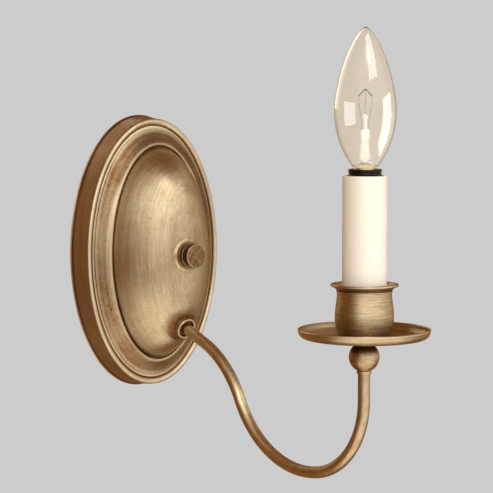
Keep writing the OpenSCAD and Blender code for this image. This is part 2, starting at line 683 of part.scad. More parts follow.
module wire_connector() {
    difference() {
        rotate_extrude() polygon([
            [0, 0], [connector_r, 0], [connector_r, 1.4], [connector_r - 0.5, 2],
            [connector_r - 1.6, connector_l - 0.8], [connector_r - 2.4, connector_l], [0, connector_l]
        ]);
        translate([0, 0, -1]) cylinder(r = lead_r, h = 1 + connector_bite);
    }
}
module wire_connectors() color("#d8702c") for (side = [-1, 1])
    on_arm_seat() translate([side * lead_gap, 0, -arm_inner]) rotate([180, 0, 0])
        translate([side * tail_bend_r * (1 - cos(tail_turn)), 0, tail_run + tail_bend_r * sin(tail_turn)])
            rotate([0, side * tail_turn, 0]) translate([0, 0, tail_end - connector_bite]) wire_connector();

// ================= Bulb =================

module bulb_glass() color([0.92, 0.93, 0.9, 0.4]) on_candle() {
    foot_r = bulb_low(1);
    rotate_extrude($fn = 96) polygon(concat(
        [[foot_r - glass_t, glass_z - 0.1], [foot_r, glass_z - 0.1]],
        glass_outline(0),
        [for (i = [len(glass_outline(0)) - 1:-1:0]) glass_outline(glass_t)[i]]
    ));
}

module bulb_base_shell() color("#c3a45a") on_candle() {
    rotate_extrude($fn = 96) polygon([
        [base_r - shell_t, base_shell_z], [base_r, base_shell_z + 0.4], [base_r, base_top - 0.3],
        [base_r - 0.3, base_top], [base_r - shell_t, base_top]
    ]);
}

module bulb_base_insulator() color(black) on_candle() rotate_extrude() polygon([
    [0, base_z + 1], [2.6, base_z + 1], [base_r - shell_t, base_shell_z],
    [base_r - shell_t, base_shell_z + 1.6], [0, base_shell_z + 1.6]
]);

module bulb_tip_contact() color("#b5b3ad") on_candle(base_z) rotate_extrude() polygon([
    [0, 0], [1.3, 0], [2.2, 0.45], [2.4, 1], [0, 1]
]);

// Glass stem: a flared foot, a slender tube and a flattened pinch
stem_top = mix(glass_z, glass_top, 0.3);
pinch_w = 6;
module bulb_stem() color([0.9, 0.92, 0.9, 0.5]) on_candle() {
    rotate_extrude() polygon([
        [0, base_top - 1], [bulb_low(1) - glass_t - 0.6, base_top - 1], [bulb_low(1) - glass_t - 0.6, glass_z],
        [3.2, glass_z + 2], [1.9, glass_z + 5], [1.7, stem_top - 6], [0, stem_top - 6]
    ]);
    translate([-pinch_w / 2, -1.2, stem_top - 6.2]) cube([pinch_w, 2.4, 4.2]);
    translate([0, 0, stem_top - 2.2]) cylinder(r = 0.8, h = 6);
    translate([0, 0, stem_top + 4.2]) sphere(r = 1.4);
}

// Wires: two lead-in wires from the pinch to the filament's ends, and a hook in the middle
wire_r = 0.25;
filament_z = mix(glass_z, glass_top, 0.5);
filament_x = 5;
module rod(from, to, r) {
    d = to - from;
    translate(from) rotate([0, acos(d[2] / norm(d)), atan2(d[1], d[0])]) cylinder(r = r, h = norm(d), $fn = 16);
}
module bulb_support_wires() color(steel) on_candle() {
    for (s = [-1, 1])
        rod([s * (pinch_w / 2 - 0.8), 0, stem_top - 2], [s * filament_x, 0, filament_z], wire_r);
    rod([0, 0, stem_top + 5.6], [0, 0, filament_z + 4], wire_r);
}

filament_r = 0.4;
module bulb_filament() color("#8d8a86") on_candle() for (s = [-1, 1])
    rod([s * filament_x, 0, filament_z + filament_r], [s * 0.4, 0, filament_z + 4.4], filament_r);

// ================= Nodes =================

backplate();
crossbar();
center_stud();
stud_lock_nut();
ground_screw();
ground_lead();
knob_washer();
cap_knob();
arm_seat_ring();
arm_tube();
arm_inner_washer();
arm_lock_nut();
arm_ferrule();
neck_ball();
bobeche();
candle_cup();
riser_nipple();
socket_bracket();
bracket_nut();
socket_rivets();
socket_body();
socket_screw_shell();
socket_center_contact();
candle_sleeve();
live_lead();
neutral_lead();
wire_connectors();
bulb_glass();
bulb_base_shell();
bulb_base_insulator();
bulb_tip_contact();
bulb_stem();
bulb_support_wires();
bulb_filament();
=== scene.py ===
import math

import bmesh
import bpy
import numpy as np
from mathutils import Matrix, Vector


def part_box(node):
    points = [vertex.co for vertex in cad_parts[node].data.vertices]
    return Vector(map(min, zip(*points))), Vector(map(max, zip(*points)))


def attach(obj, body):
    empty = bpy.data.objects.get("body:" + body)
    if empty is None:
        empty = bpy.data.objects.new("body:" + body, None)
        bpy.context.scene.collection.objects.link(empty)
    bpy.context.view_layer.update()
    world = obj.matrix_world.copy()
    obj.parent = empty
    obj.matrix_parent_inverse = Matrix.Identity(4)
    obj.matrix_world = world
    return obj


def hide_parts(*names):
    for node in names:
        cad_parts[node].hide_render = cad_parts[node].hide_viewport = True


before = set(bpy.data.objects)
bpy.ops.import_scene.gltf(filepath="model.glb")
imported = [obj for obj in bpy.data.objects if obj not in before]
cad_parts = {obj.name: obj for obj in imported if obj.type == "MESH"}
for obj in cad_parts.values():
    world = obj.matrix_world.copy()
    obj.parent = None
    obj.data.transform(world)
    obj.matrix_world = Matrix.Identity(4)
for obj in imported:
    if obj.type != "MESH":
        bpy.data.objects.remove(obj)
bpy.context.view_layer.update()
mm = 0.001  # shapes below are in millimetres, and the scene is in metres


def boxMm(nodeName):
    low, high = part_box(nodeName)
    return np.array(low) / mm, np.array(high) / mm


# Camera
cameraView = {"location": (-0.68929, -0.91252, 0.09322), "tilt": 85.44, "turn": -40.25, "lens": 142.62,
              "sensor": 36.0}

cameraData = bpy.data.cameras.new("sconceCamera")
cameraData.lens = cameraView["lens"]
cameraData.sensor_width = cameraView["sensor"]
cameraObject = bpy.data.objects.new("sconceCamera", cameraData)
cameraObject.location = cameraView["location"]
cameraObject.rotation_euler = (math.radians(cameraView["tilt"]), 0, math.radians(cameraView["turn"]))
bpy.context.scene.collection.objects.link(cameraObject)
bpy.context.scene.camera = cameraObject
bpy.context.scene.view_settings.view_transform = "Standard"


# Node helpers
def feed(tree, socket, value):
    if isinstance(value, bpy.types.NodeSocket):
        tree.links.new(value, socket)
    else:
        socket.default_value = value


def put(tree, kind, feeds=None, **settings):
    made = tree.nodes.new(kind)
    for key, value in settings.items():
        setattr(made, key, value)
    for key, value in (feeds or {}).items():
        feed(tree, made.inputs[key], value)
    return made


def calc(tree, operation, first, second=0.0, clamp=False):
    made = put(tree, "ShaderNodeMath", {0: first, 1: second}, operation=operation, use_clamp=clamp)
    return made.outputs[0]


def span(tree, value, low, high, toLow=0.0, toHigh=1.0):
    feeds = {"Value": value, "From Min": low, "From Max": high, "To Min": toLow, "To Max": toHigh}
    return put(tree, "ShaderNodeMapRange", feeds).outputs[0]


def blendColors(tree, factor, first, second, mode="MIX"):
    made = put(tree, "ShaderNodeMix", data_type="RGBA", blend_type=mode)
    feed(tree, made.inputs[0], factor)
    feed(tree, made.inputs[6], first)
    feed(tree, made.inputs[7], second)
    return made.outputs[2]


def makeGroup(name, inputs, outputs):
    tree = bpy.data.node_groups.new(name, "ShaderNodeTree")
    for label, value in inputs:
        kind = "NodeSocketColor" if isinstance(value, tuple) else "NodeSocketFloat"
        tree.interface.new_socket(name=label, in_out="INPUT", socket_type=kind).default_value = value
    for label, kind in outputs:
        tree.interface.new_socket(name=label, in_out="OUTPUT", socket_type=kind)
    return tree, tree.nodes.new("NodeGroupInput").outputs, tree.nodes.new("NodeGroupOutput").inputs


def placeGroup(tree, group, feeds):
    made = tree.nodes.new("ShaderNodeGroup")
    made.node_tree = group
    for key, value in feeds.items():
        feed(tree, made.inputs[key], value)
    return made.outputs


# Shared effects
def makeBrushing():
    # Fine lines that run round a turned or spun piece: the map's X is in turns and its Y in centimetres
    tree, given, result = makeGroup(
        "fineBrushing",
        [("Wrap", 2.0), ("Lines Per Cm", 12.0), ("Seed", 0.0)],
        [("Lines", "NodeSocketFloat"), ("Fine", "NodeSocketFloat")])
    wrapMap = put(tree, "ShaderNodeUVMap", uv_map="wrapMap")
    parts = put(tree, "ShaderNodeSeparateXYZ", {0: wrapMap.outputs[0]}).outputs
    turn = calc(tree, "MULTIPLY", parts[0], 2 * math.pi)
    across = calc(tree, "MULTIPLY", calc(tree, "COSINE", turn), given["Wrap"])
    along = calc(tree, "MULTIPLY", calc(tree, "SINE", turn), given["Wrap"])
    step = calc(tree, "MULTIPLY_ADD", parts[1], given["Lines Per Cm"])
    feed(tree, step.node.inputs[2], given["Seed"])
    where = put(tree, "ShaderNodeCombineXYZ", {0: across, 1: along, 2: step}).outputs[0]
    wide = put(tree, "ShaderNodeTexNoise", {"Vector": where, "Scale": 0.7, "Detail": 3.0, "Roughness": 0.62})
    finer = put(tree, "ShaderNodeVectorMath", {0: where, 1: (1.7, 1.7, 3.4)}, operation="MULTIPLY").outputs[0]
    narrow = put(tree, "ShaderNodeTexNoise", {"Vector": finer, "Scale": 1.0, "Detail": 2.0, "Roughness": 0.7})
    feed(tree, result["Lines"], span(tree, wide.outputs[0], 0.32, 0.68))
    feed(tree, result["Fine"], span(tree, narrow.outputs[0], 0.3, 0.7))
    return tree


def makePatina():
    # Cloudy tarnish, darkened recesses and rubbed edges, from each mesh's own recess and edge values, which
    # also carry painted shade and painted highlights
    tree, given, result = makeGroup(
        "agedPatina",
        [("Clean", (0.6, 0.46, 0.25, 1.0)), ("Tarnish", (0.2, 0.1, 0.03, 1.0)),
         ("Rubbed", (0.8, 0.66, 0.42, 1.0)), ("Cloud Scale", 40.0), ("Cloud Amount", 0.35),
         ("Recess Amount", 0.8), ("Wear Amount", 0.6)],
        [("Color", "NodeSocketColor"), ("Mask", "NodeSocketFloat")])
    where = put(tree, "ShaderNodeTexCoord").outputs["Object"]
    recess = put(tree, "ShaderNodeAttribute", attribute_name="recess").outputs["Fac"]
    wearAndShine = put(tree, "ShaderNodeAttribute", attribute_name="edgeWear").outputs["Fac"]
    cloud = put(tree, "ShaderNodeTexNoise",
                {"Vector": where, "Scale": given["Cloud Scale"], "Detail": 4.0, "Roughness": 0.62})
    speck = put(tree, "ShaderNodeTexNoise",
                {"Vector": where, "Scale": 620.0, "Detail": 2.0, "Roughness": 0.7})
    clouds = calc(tree, "MULTIPLY", span(tree, cloud.outputs[0], 0.38, 0.72), given["Cloud Amount"])
    specks = calc(tree, "MULTIPLY", span(tree, speck.outputs[0], 0.5, 0.75), 0.22)
    sunkAndShaded = calc(tree, "MULTIPLY", recess, given["Recess Amount"])
    mask = calc(tree, "ADD", calc(tree, "ADD", clouds, specks), sunkAndShaded, clamp=True)
    rubAndShine = calc(tree, "MULTIPLY", wearAndShine, given["Wear Amount"], clamp=True)
    color = blendColors(tree, mask, given["Clean"], given["Tarnish"])
    feed(tree, result["Color"], blendColors(tree, rubAndShine, color, given["Rubbed"]))
    feed(tree, result["Mask"], mask)
    return tree


def makeMouldedGrain():
    # Slight mottling and fine grain of moulded, dipped or plated parts
    tree, given, result = makeGroup(
        "mouldedGrain",
        [("Base", (0.5, 0.5, 0.5, 1.0)), ("Shade", (0.4, 0.4, 0.4, 1.0)),
         ("Scale", 120.0), ("Contrast", 0.5)],
        [("Color", "NodeSocketColor"), ("Grain", "NodeSocketFloat"), ("Mottle", "NodeSocketFloat")])
    where = put(tree, "ShaderNodeTexCoord").outputs["Object"]
    mottle = put(tree, "ShaderNodeTexNoise",
                 {"Vector": where, "Scale": given["Scale"], "Detail": 3.0, "Roughness": 0.55})
    grain = put(tree, "ShaderNodeTexNoise",
                {"Vector": where, "Scale": 1900.0, "Detail": 2.0, "Roughness": 0.6})
    amount = calc(tree, "MULTIPLY", span(tree, mottle.outputs[0], 0.35, 0.7), given["Contrast"])
    feed(tree, result["Color"], blendColors(tree, amount, given["Base"], given["Shade"]))
    feed(tree, result["Grain"], grain.outputs[0])
    feed(tree, result["Mottle"], mottle.outputs[0])
    return tree


fineBrushing = makeBrushing()
agedPatina = makePatina()
mouldedGrain = makeMouldedGrain()
print("shared effects: %s" % ", ".join(group.name for group in bpy.data.node_groups))


# Materials
def startMaterial(name, plain):
    material = bpy.data.materials.new(name)
    material.use_nodes = True
    tree = material.node_tree
    shader = tree.nodes["Principled BSDF"]
    for key, value in plain.items():
        shader.inputs[key].default_value = value
    return material, tree, shader


def addBump(tree, shader, height, strength, distanceMm):
    feeds = {"Height": height, "Strength": strength, "Distance": distanceMm * mm}
    feed(tree, shader.inputs["Normal"], put(tree, "ShaderNodeBump", feeds).outputs[0])


def brushedBrass(name, look):
    plain = {"Metallic": 1.0, "Anisotropic": look["stretch"], "Anisotropic Rotation": 0.25}
    material, tree, shader = startMaterial(name, plain)
    if look["stretch"] > 0:
        feed(tree, shader.inputs["Tangent"],
             put(tree, "ShaderNodeTangent", direction_type="UV_MAP", uv_map="wrapMap").outputs[0])
    brushing = placeGroup(tree, fineBrushing, {
        "Wrap": look["wrap"], "Lines Per Cm": look["linesPerCm"], "Seed": look["seed"]})
    patina = placeGroup(tree, agedPatina, {
        "Clean": look["clean"], "Tarnish": look["tarnishAndShade"], "Rubbed": look["rubbedAndShine"],
        "Cloud Scale": look["cloudScale"], "Cloud Amount": look["clouds"],
        "Recess Amount": look["recess"], "Wear Amount": look["wearAndShine"]})
    darker = blendColors(tree, 1.0, patina["Color"], (0.62, 0.55, 0.45, 1.0), "MULTIPLY")
    streak = calc(tree, "MULTIPLY", brushing["Lines"], look["streaks"])
    feed(tree, shader.inputs["Base Color"], blendColors(tree, streak, patina["Color"], darker))
    rough = calc(tree, "MULTIPLY_ADD", patina["Mask"], look["tarnishRoughness"])
    feed(tree, rough.node.inputs[2], look["roughness"])
    lined = calc(tree, "MULTIPLY_ADD", brushing["Fine"], look["lineRoughness"])
    feed(tree, lined.node.inputs[2], rough)
    feed(tree, shader.inputs["Roughness"], lined)
    height = calc(tree, "ADD", brushing["Lines"], calc(tree, "MULTIPLY", brushing["Fine"], 0.6))
    addBump(tree, shader, height, look["bump"], 0.06)
    return material


agedLook = {
    # The dark colour stands for patina and painted shade, the light rubbed colour for worn edges and painted
    # highlights
    "clean": (0.67, 0.57, 0.41, 1.0), "tarnishAndShade": (0.19, 0.082, 0.019, 1.0), "rubbedAndShine": (0.92, 0.84, 0.68, 1.0),
    "cloudScale": 21.0, "clouds": 0.52, "recess": 0.85, "wearAndShine": 0.5,
    "wrap": 3.6, "linesPerCm": 13.0, "seed": 0.0, "streaks": 0.62, "stretch": 0.45, "bump": 0.55,
    "roughness": 0.26, "tarnishRoughness": 0.12, "lineRoughness": 0.10,
}
agedBrass = {
    "plate": brushedBrass("agedBrassPlate", agedLook),
    # The turned brass is lighter than the plate's: painted light that brightens the cup, pan and ball
    "turned": brushedBrass("agedBrassTurned", {
        **agedLook, "clean": (0.73, 0.625, 0.445, 1.0), "clouds": 0.40, "wrap": 1.8, "linesPerCm": 17.0,
        "seed": 3.0, "streaks": 0.8, "bump": 0.85, "roughness": 0.25}),
    # The tube brass is lighter still: painted light that brightens the arm
    "tube": brushedBrass("agedBrassTube", {
        **agedLook, "clean": (0.82, 0.71, 0.51, 1.0), "cloudScale": 55.0, "clouds": 0.5, "wrap": 1.6,
        "linesPerCm": 0.9, "seed": 7.0, "streaks": 0.5, "stretch": 0.0, "bump": 0.25}),
    "small": brushedBrass("agedBrassSmall", {
        **agedLook, "clean": (0.62, 0.49, 0.30, 1.0), "cloudScale": 90.0, "clouds": 0.4, "wrap": 0.8,
        "linesPerCm": 16.0, "seed": 5.0, "streaks": 0.35, "stretch": 0.2}),
}
darkBrass = brushedBrass("darkBrassKnob", {
    **agedLook, "clean": (0.32, 0.22, 0.115, 1.0), "tarnishAndShade": (0.06, 0.025, 0.008, 1.0),
    "rubbedAndShine": (0.85, 0.72, 0.50, 1.0), "cloudScale": 420.0, "clouds": 0.75, "recess": 1.0, "wearAndShine": 0.7,
    "wrap": 0.6, "linesPerCm": 22.0, "streaks": 0.3, "stretch": 0.1, "bump": 0.25, "roughness": 0.34})
brightBrass = brushedBrass("brightBrass", {
    **agedLook, "clean": (0.80, 0.63, 0.32, 1.0), "tarnishAndShade": (0.42, 0.27, 0.09, 1.0),
    "rubbedAndShine": (0.90, 0.78, 0.50, 1.0), "cloudScale": 120.0, "clouds": 0.35, "recess": 0.7, "wearAndShine": 0.4,
    "wrap": 0.8, "linesPerCm": 14.0, "streaks": 0.25, "stretch": 0.0, "bump": 0.15, "roughness": 0.24})


def grainMaterial(name, look):
    material, tree, shader = startMaterial(name, look["plain"])
    grain = placeGroup(tree, mouldedGrain, {
        "Base": look["base"], "Shade": look["shade"], "Scale": look["scale"], "Contrast": look["contrast"]})
    feed(tree, shader.inputs["Base Color"], grain["Color"])
    low, high = look["roughness"]
    feed(tree, shader.inputs["Roughness"], span(tree, grain["Mottle"], 0.3, 0.7, low, high))
    addBump(tree, shader, grain["Grain"], look["bump"], 0.03)
    return material


grainLooks = {
    "zincSteel": {
        "plain": {"Metallic": 1.0}, "base": (0.62, 0.62, 0.60, 1.0), "shade": (0.45, 0.45, 0.42, 1.0),
        "scale": 260.0, "contrast": 0.8, "roughness": (0.28, 0.42), "bump": 0.25},
    "greenPlating": {
        "plain": {"Metallic": 0.85}, "base": (0.08, 0.30, 0.13, 1.0), "shade": (0.05, 0.20, 0.10, 1.0),
        "scale": 400.0, "contrast": 0.7, "roughness": (0.28, 0.40), "bump": 0.15},
    "copperWire": {
        "plain": {"Metallic": 1.0}, "base": (0.80, 0.42, 0.25, 1.0), "shade": (0.50, 0.22, 0.12, 1.0),
        "scale": 300.0, "contrast": 0.7, "roughness": (0.25, 0.38), "bump": 0.15},
    "ivorySleeve": {
        "plain": {"Subsurface Weight": 0.12, "Subsurface Scale": 0.002,
                  "Subsurface Radius": (1.0, 0.75, 0.45), "Coat Weight": 0.12, "Coat Roughness": 0.3},
        "base": (0.84, 0.825, 0.79, 1.0), "shade": (0.80, 0.76, 0.685, 1.0),
        "scale": 45.0, "contrast": 0.35, "roughness": (0.42, 0.55), "bump": 0.12},
    "blackPhenolic": {
        "plain": {"Specular IOR Level": 0.2, "Coat Weight": 0.1, "Coat Roughness": 0.08},
        "base": (0.006, 0.006, 0.007, 1.0), "shade": (0.014, 0.013, 0.013, 1.0),
        "scale": 240.0, "contrast": 0.6, "roughness": (0.22, 0.36), "bump": 0.2},
    "blackJacket": {
        "plain": {}, "base": (0.02, 0.02, 0.022, 1.0), "shade": (0.05, 0.048, 0.046, 1.0),
        "scale": 300.0, "contrast": 0.5, "roughness": (0.38, 0.5), "bump": 0.2},
    "whiteJacket": {
        "plain": {}, "base": (0.80, 0.79, 0.75, 1.0), "shade": (0.66, 0.64, 0.58, 1.0),
        "scale": 300.0, "contrast": 0.5, "roughness": (0.38, 0.5), "bump": 0.2},
    "orangeConnector": {
        "plain": {}, "base": (0.72, 0.20, 0.035, 1.0), "shade": (0.55, 0.13, 0.02, 1.0),
        "scale": 200.0, "contrast": 0.5, "roughness": (0.40, 0.52), "bump": 0.25},
    "blackGlass": {
        "plain": {"Coat Weight": 0.6, "Coat Roughness": 0.05},
        "base": (0.01, 0.01, 0.016, 1.0), "shade": (0.03, 0.03, 0.04, 1.0),
        "scale": 500.0, "contrast": 0.5, "roughness": (0.12, 0.2), "bump": 0.1},
    "tinSolder": {
        "plain": {"Metallic": 1.0}, "base": (0.66, 0.65, 0.62, 1.0), "shade": (0.42, 0.41, 0.38, 1.0),
        "scale": 900.0, "contrast": 0.8, "roughness": (0.30, 0.5), "bump": 0.5},
    "nickelWire": {
        "plain": {"Metallic": 1.0}, "base": (0.60, 0.58, 0.54, 1.0), "shade": (0.40, 0.38, 0.35, 1.0),
        "scale": 700.0, "contrast": 0.6, "roughness": (0.22, 0.35), "bump": 0.1},
    "tungstenWire": {
        "plain": {"Metallic": 1.0}, "base": (0.36, 0.35, 0.34, 1.0), "shade": (0.22, 0.21, 0.20, 1.0),
        "scale": 900.0, "contrast": 0.6, "roughness": (0.3, 0.45), "bump": 0.1},
}
grainMaterials = {name: grainMaterial(name, look) for name, look in grainLooks.items()}


def glassMaterial(name, look):
    plain = {"Base Color": look["tint"], "Roughness": look["roughness"], "IOR": look["ior"],
             "Transmission Weight": look["clear"]}
    material, tree, shader = startMaterial(name, plain)
    where = put(tree, "ShaderNodeTexCoord").outputs["Object"]
    ripple = put(tree, "ShaderNodeTexNoise",
                 {"Vector": where, "Scale": look["rippleScale"], "Detail": 1.0, "Roughness": 0.4})
    addBump(tree, shader, ripple.outputs[0], look["ripple"], 0.4)
    clear = put(tree, "ShaderNodeBsdfTransparent", {"Color": (0.97, 0.96, 0.94, 1.0)})
    shadowRay = put(tree, "ShaderNodeLightPath").outputs["Is Shadow Ray"]
    mixed = put(tree, "ShaderNodeMixShader", {0: shadowRay, 1: shader.outputs[0], 2: clear.outputs[0]})
    feed(tree, tree.nodes["Material Output"].inputs["Surface"], mixed.outputs[0])
    return material


bulbGlass = glassMaterial("clearBlownGlass", {
    "tint": (1.0, 0.985, 0.96, 1.0), "roughness": 0.0, "ior": 1.5, "rippleScale": 90.0, "ripple": 0.08,
    "clear": 1.0})
stemGlass = glassMaterial("clearStemGlass", {
    "tint": (0.97, 0.97, 0.95, 1.0), "roughness": 0.05, "ior": 1.52, "rippleScale": 260.0, "ripple": 0.4,
    "clear": 0.9})
print("materials: %d" % len(bpy.data.materials))


# Shape helpers: rings of points in millimetres
def roundCorners(corners, closed=True, stepDegrees=15.0):
    # Corners are (across, along) or (across, along, radius), and each radius becomes an arc
    points = []
    count = len(corners)
    for k, corner in enumerate(corners):
        here = np.array(corner[:2], float)
        radius = corner[2] if len(corner) > 2 else 0.0
        if radius <= 0 or (not closed and k in (0, count - 1)):
            points.append(here)
            continue
        back = np.array(corners[k - 1][:2], float) - here
        ahead = np.array(corners[(k + 1) % count][:2], float) - here
        backLength, aheadLength = np.linalg.norm(back), np.linalg.norm(ahead)
        back, ahead = back / backLength, ahead / aheadLength
        half = math.acos(float(np.clip(back @ ahead, -1, 1))) / 2
        if half > math.radians(88):
            points.append(here)
            continue
        reach = min(radius / math.tan(half), 0.48 * backLength, 0.48 * aheadLength)
        radius = reach * math.tan(half)
        bisector = (back + ahead) / np.linalg.norm(back + ahead)
        centre = here + bisector * radius / math.sin(half)
        start, end = here + back * reach - centre, here + ahead * reach - centre
        turn = math.pi - 2 * half
        steps = max(2, math.ceil(math.degrees(turn) / stepDegrees))
        for i in range(steps + 1):
            share = i / steps
            spoke = start * math.sin((1 - share) * turn) + end * math.sin(share * turn)
            points.append(centre + spoke / math.sin(turn))
    return points


def arc(centre, radius, fromDegrees, toDegrees, steps):
    angles = np.radians(np.linspace(fromDegrees, toDegrees, steps + 1))
    return [(centre[0] + radius * math.cos(a), centre[1] + radius * math.sin(a)) for a in angles]


def splitLong(points, longest):
    result = [np.array(points[0], float)]
    for point in points[1:]:
        gap = np.array(point, float) - result[-1]
        pieces = max(1, math.ceil(np.linalg.norm(gap) / longest))
        start = result[-1]
        result += [start + gap * (i + 1) / pieces for i in range(pieces)]
    return result


def latheRings(profile, sides=96):
    turns = np.arange(sides) * 2 * np.pi / sides
    profile = np.array([p[:2] for p in profile], float)
    return np.stack([profile[:, :1] * np.cos(turns), profile[:, :1] * np.sin(turns),
                     np.repeat(profile[:, 1:2], sides, 1)], -1)


def threadRings(radius, depth, pitch, low, high, sides=64, perPitch=10, sharp=False):
    # A screw thread on the outside of a bar, rising as it turns anticlockwise
    rows = max(4, int(round((high - low) / pitch * perPitch)))
    height = np.linspace(low, high, rows + 1)[:, None]
    turns = np.arange(sides)[None, :] / sides
    phase = (height / pitch - turns) % 1.0
    wave = np.abs(2 * phase - 1) if sharp else 0.5 + 0.5 * np.cos(2 * np.pi * phase)
    if sharp:
        wave = np.clip(wave * 1.3 - 0.15, 0, 1)
    fade = np.clip(np.minimum(height - low, high - height) / (0.6 * pitch), 0, 1)
    cut = radius - depth * (1 - fade) - depth * wave * fade
    turns = turns * 2 * np.pi
    return np.stack([cut * np.cos(turns), cut * np.sin(turns), np.repeat(height, sides, 1)], -1)


def sweepRings(path, radius, sides=24):
    # A round section carried along a path without twist
    path = np.array(path, float)
    heading = np.gradient(path, axis=0)
    heading /= np.linalg.norm(heading, axis=1)[:, None]
    side = np.cross(heading[0], (1.0, 0.0, 0.0))
    if np.linalg.norm(side) < 0.1:
        side = np.cross(heading[0], (0.0, 1.0, 0.0))
    turns = np.arange(sides) * 2 * np.pi / sides
    radii = np.broadcast_to(np.array(radius, float), len(path))
    rings = []
    for point, ahead, r in zip(path, heading, radii):
        side = side - ahead * (side @ ahead)
        side /= np.linalg.norm(side)
        other = np.cross(ahead, side)
        rings.append(point + r * (np.outer(np.cos(turns), side) + np.outer(np.sin(turns), other)))
    return np.array(rings)


def poleRing(rings, end):
    # All of one ring's points at its centre, which closes that end
    centre = rings[end].mean(0)
    return np.repeat(centre[None, None, :], rings.shape[1], 1)


def closeEnds(rings, inset=0.7):
    # Closes both ends of an open tube, with one more ring a little inside each end's edge
    first, last = rings[0].mean(0), rings[-1].mean(0)
    lead = first + (rings[0] - first) * inset
    tail = last + (rings[-1] - last) * inset
    body = np.concatenate([lead[None], rings, tail[None]])
    return np.concatenate([poleRing(body, 0), body, poleRing(body, -1)])


def tilt(rings, origin, degrees=0.0):
    # Turns a shape made along +Z about the X axis, and sets it at its place
    a = math.radians(degrees)
    turn = np.array([[1, 0, 0], [0, math.cos(a), -math.sin(a)], [0, math.sin(a), math.cos(a)]])
    return np.asarray(rings, float) @ turn.T + np.array(origin, float)


def gridMesh(name, parts):
    # Parts are (rings, closed) and closed joins the last ring to the first one
    points, faces, wraps = [], [], []
    offset = 0
    for rings, closed in parts:
        rows, cols = rings.shape[:2]
        rowCount = rows if closed else rows - 1
        i, j = np.meshgrid(np.arange(rowCount), np.arange(cols), indexing="ij")
        i2, j2 = (i + 1) % rows, (j + 1) % cols
        corners = np.stack([i * cols + j, i * cols + j2, i2 * cols + j2, i2 * cols + j], -1).reshape(-1, 4)
        across = np.linalg.norm(np.diff(rings[:, 0], axis=0, append=rings[:1, 0]), axis=1)
        along = np.concatenate([[0], np.cumsum(across)]) / 10
        u = np.stack([j, j + 1, j + 1, j], -1) / cols
        v = np.stack([along[i], along[i], along[i + 1], along[i + 1]], -1)
        points.append(rings.reshape(-1, 3))
        faces.append(corners + offset)
        wraps.append(np.stack([u, v], -1).reshape(-1, 2))
        offset += rows * cols
    mesh = bpy.data.meshes.new(name)
    mesh.from_pydata((np.concatenate(points) * mm).tolist(), [], np.concatenate(faces).tolist())
    layer = mesh.uv_layers.new(name="wrapMap")
    layer.data.foreach_set("uv", np.concatenate(wraps).astype(np.float32).ravel())
    return mesh


def outlineMesh(name, shapes):
    # Flat plates from (outlines, thickness, edge radius, height), holes included, with softened edges
    points, faces = [], []
    for outlines, thickness, edge, height in shapes:
        curve = bpy.data.curves.new(name + "Outline", "CURVE")
        curve.dimensions = "2D"
        curve.fill_mode = "BOTH"
        curve.extrude = thickness / 2 - edge
        curve.bevel_depth = edge
        curve.bevel_resolution = 2
        curve.offset = -edge
        for outline in outlines:
            spline = curve.splines.new("POLY")
            spline.points.add(len(outline) - 1)
            spline.use_cyclic_u = True
            for target, (x, y) in zip(spline.points, outline):
                target.co = (x, y, 0.0, 1.0)
        holder = bpy.data.objects.new(name + "Outline", curve)
        bpy.context.scene.collection.objects.link(holder)
        bpy.context.view_layer.update()
        evaluated = holder.evaluated_get(bpy.context.evaluated_depsgraph_get())
        flat = bpy.data.meshes.new_from_object(evaluated)
        offset = len(points)
        points += [(v.co.x, v.co.y, v.co.z + height + thickness / 2) for v in flat.vertices]
        faces += [[offset + i for i in face.vertices] for face in flat.polygons]
        bpy.data.objects.remove(holder)
        bpy.data.curves.remove(curve)
        bpy.data.meshes.remove(flat)
    return np.array(points), faces


def flatMesh(name, points, faces):
    mesh = bpy.data.meshes.new(name)
    mesh.from_pydata((points * mm).tolist(), [], faces)
    return mesh


def joinMeshes(name, meshes):
    shell = bmesh.new()
    for mesh in meshes:
        shell.from_mesh(mesh)
    joined = bpy.data.meshes.new(name)
    shell.to_mesh(joined)
    shell.free()
    return joined


def paintCurvature(mesh, sizeMm, extraShadeAndPatina=None, extraWearAndShine=None):
    # Writes how hollow (recess) and how proud (edgeWear) each point is, at about the given size; the extras
    # add painted shade and painted highlights
    count = len(mesh.vertices)
    places = np.empty(count * 3, np.float32)
    mesh.vertices.foreach_get("co", places)
    places = places.reshape(-1, 3).astype(float) / mm
    normals = np.empty(count * 3, np.float32)
    mesh.vertex_normals.foreach_get("vector", normals)
    normals = normals.reshape(-1, 3).astype(float)
    pairs = np.empty(len(mesh.edges) * 2, np.int32)
    mesh.edges.foreach_get("vertices", pairs)
    a, b = pairs.reshape(-1, 2).T
    gap = places[b] - places[a]
    length = np.maximum((gap ** 2).sum(1), 1e-8)
    bend = ((normals[b] - normals[a]) * gap).sum(1) / length
    total, weight = np.zeros(count), np.zeros(count)
    for ends in (a, b):
        np.add.at(total, ends, bend)
        np.add.at(weight, ends, 1.0)
    curve = total / np.maximum(weight, 1)
    for _ in range(3):
        total = curve * 2
        weight = np.full(count, 2.0)
        for here, there in ((a, b), (b, a)):
            np.add.at(total, here, curve[there])
            np.add.at(weight, here, 1.0)
        curve = total / weight
    recess = np.clip(-curve * sizeMm - 0.04, 0, 1)
    if extraShadeAndPatina is not None:
        recess = np.clip(recess + extraShadeAndPatina(places), 0, 1)
    wearAndShine = np.clip(curve * sizeMm - 0.25, 0, 1)
    if extraWearAndShine is not None:
        wearAndShine = np.clip(wearAndShine + extraWearAndShine(places), 0, 1)
    for label, values in (("recess", recess), ("edgeWear", wearAndShine)):
        layer = mesh.attributes.new(label, "FLOAT", "POINT")
        layer.data.foreach_set("value", values.astype(np.float32))


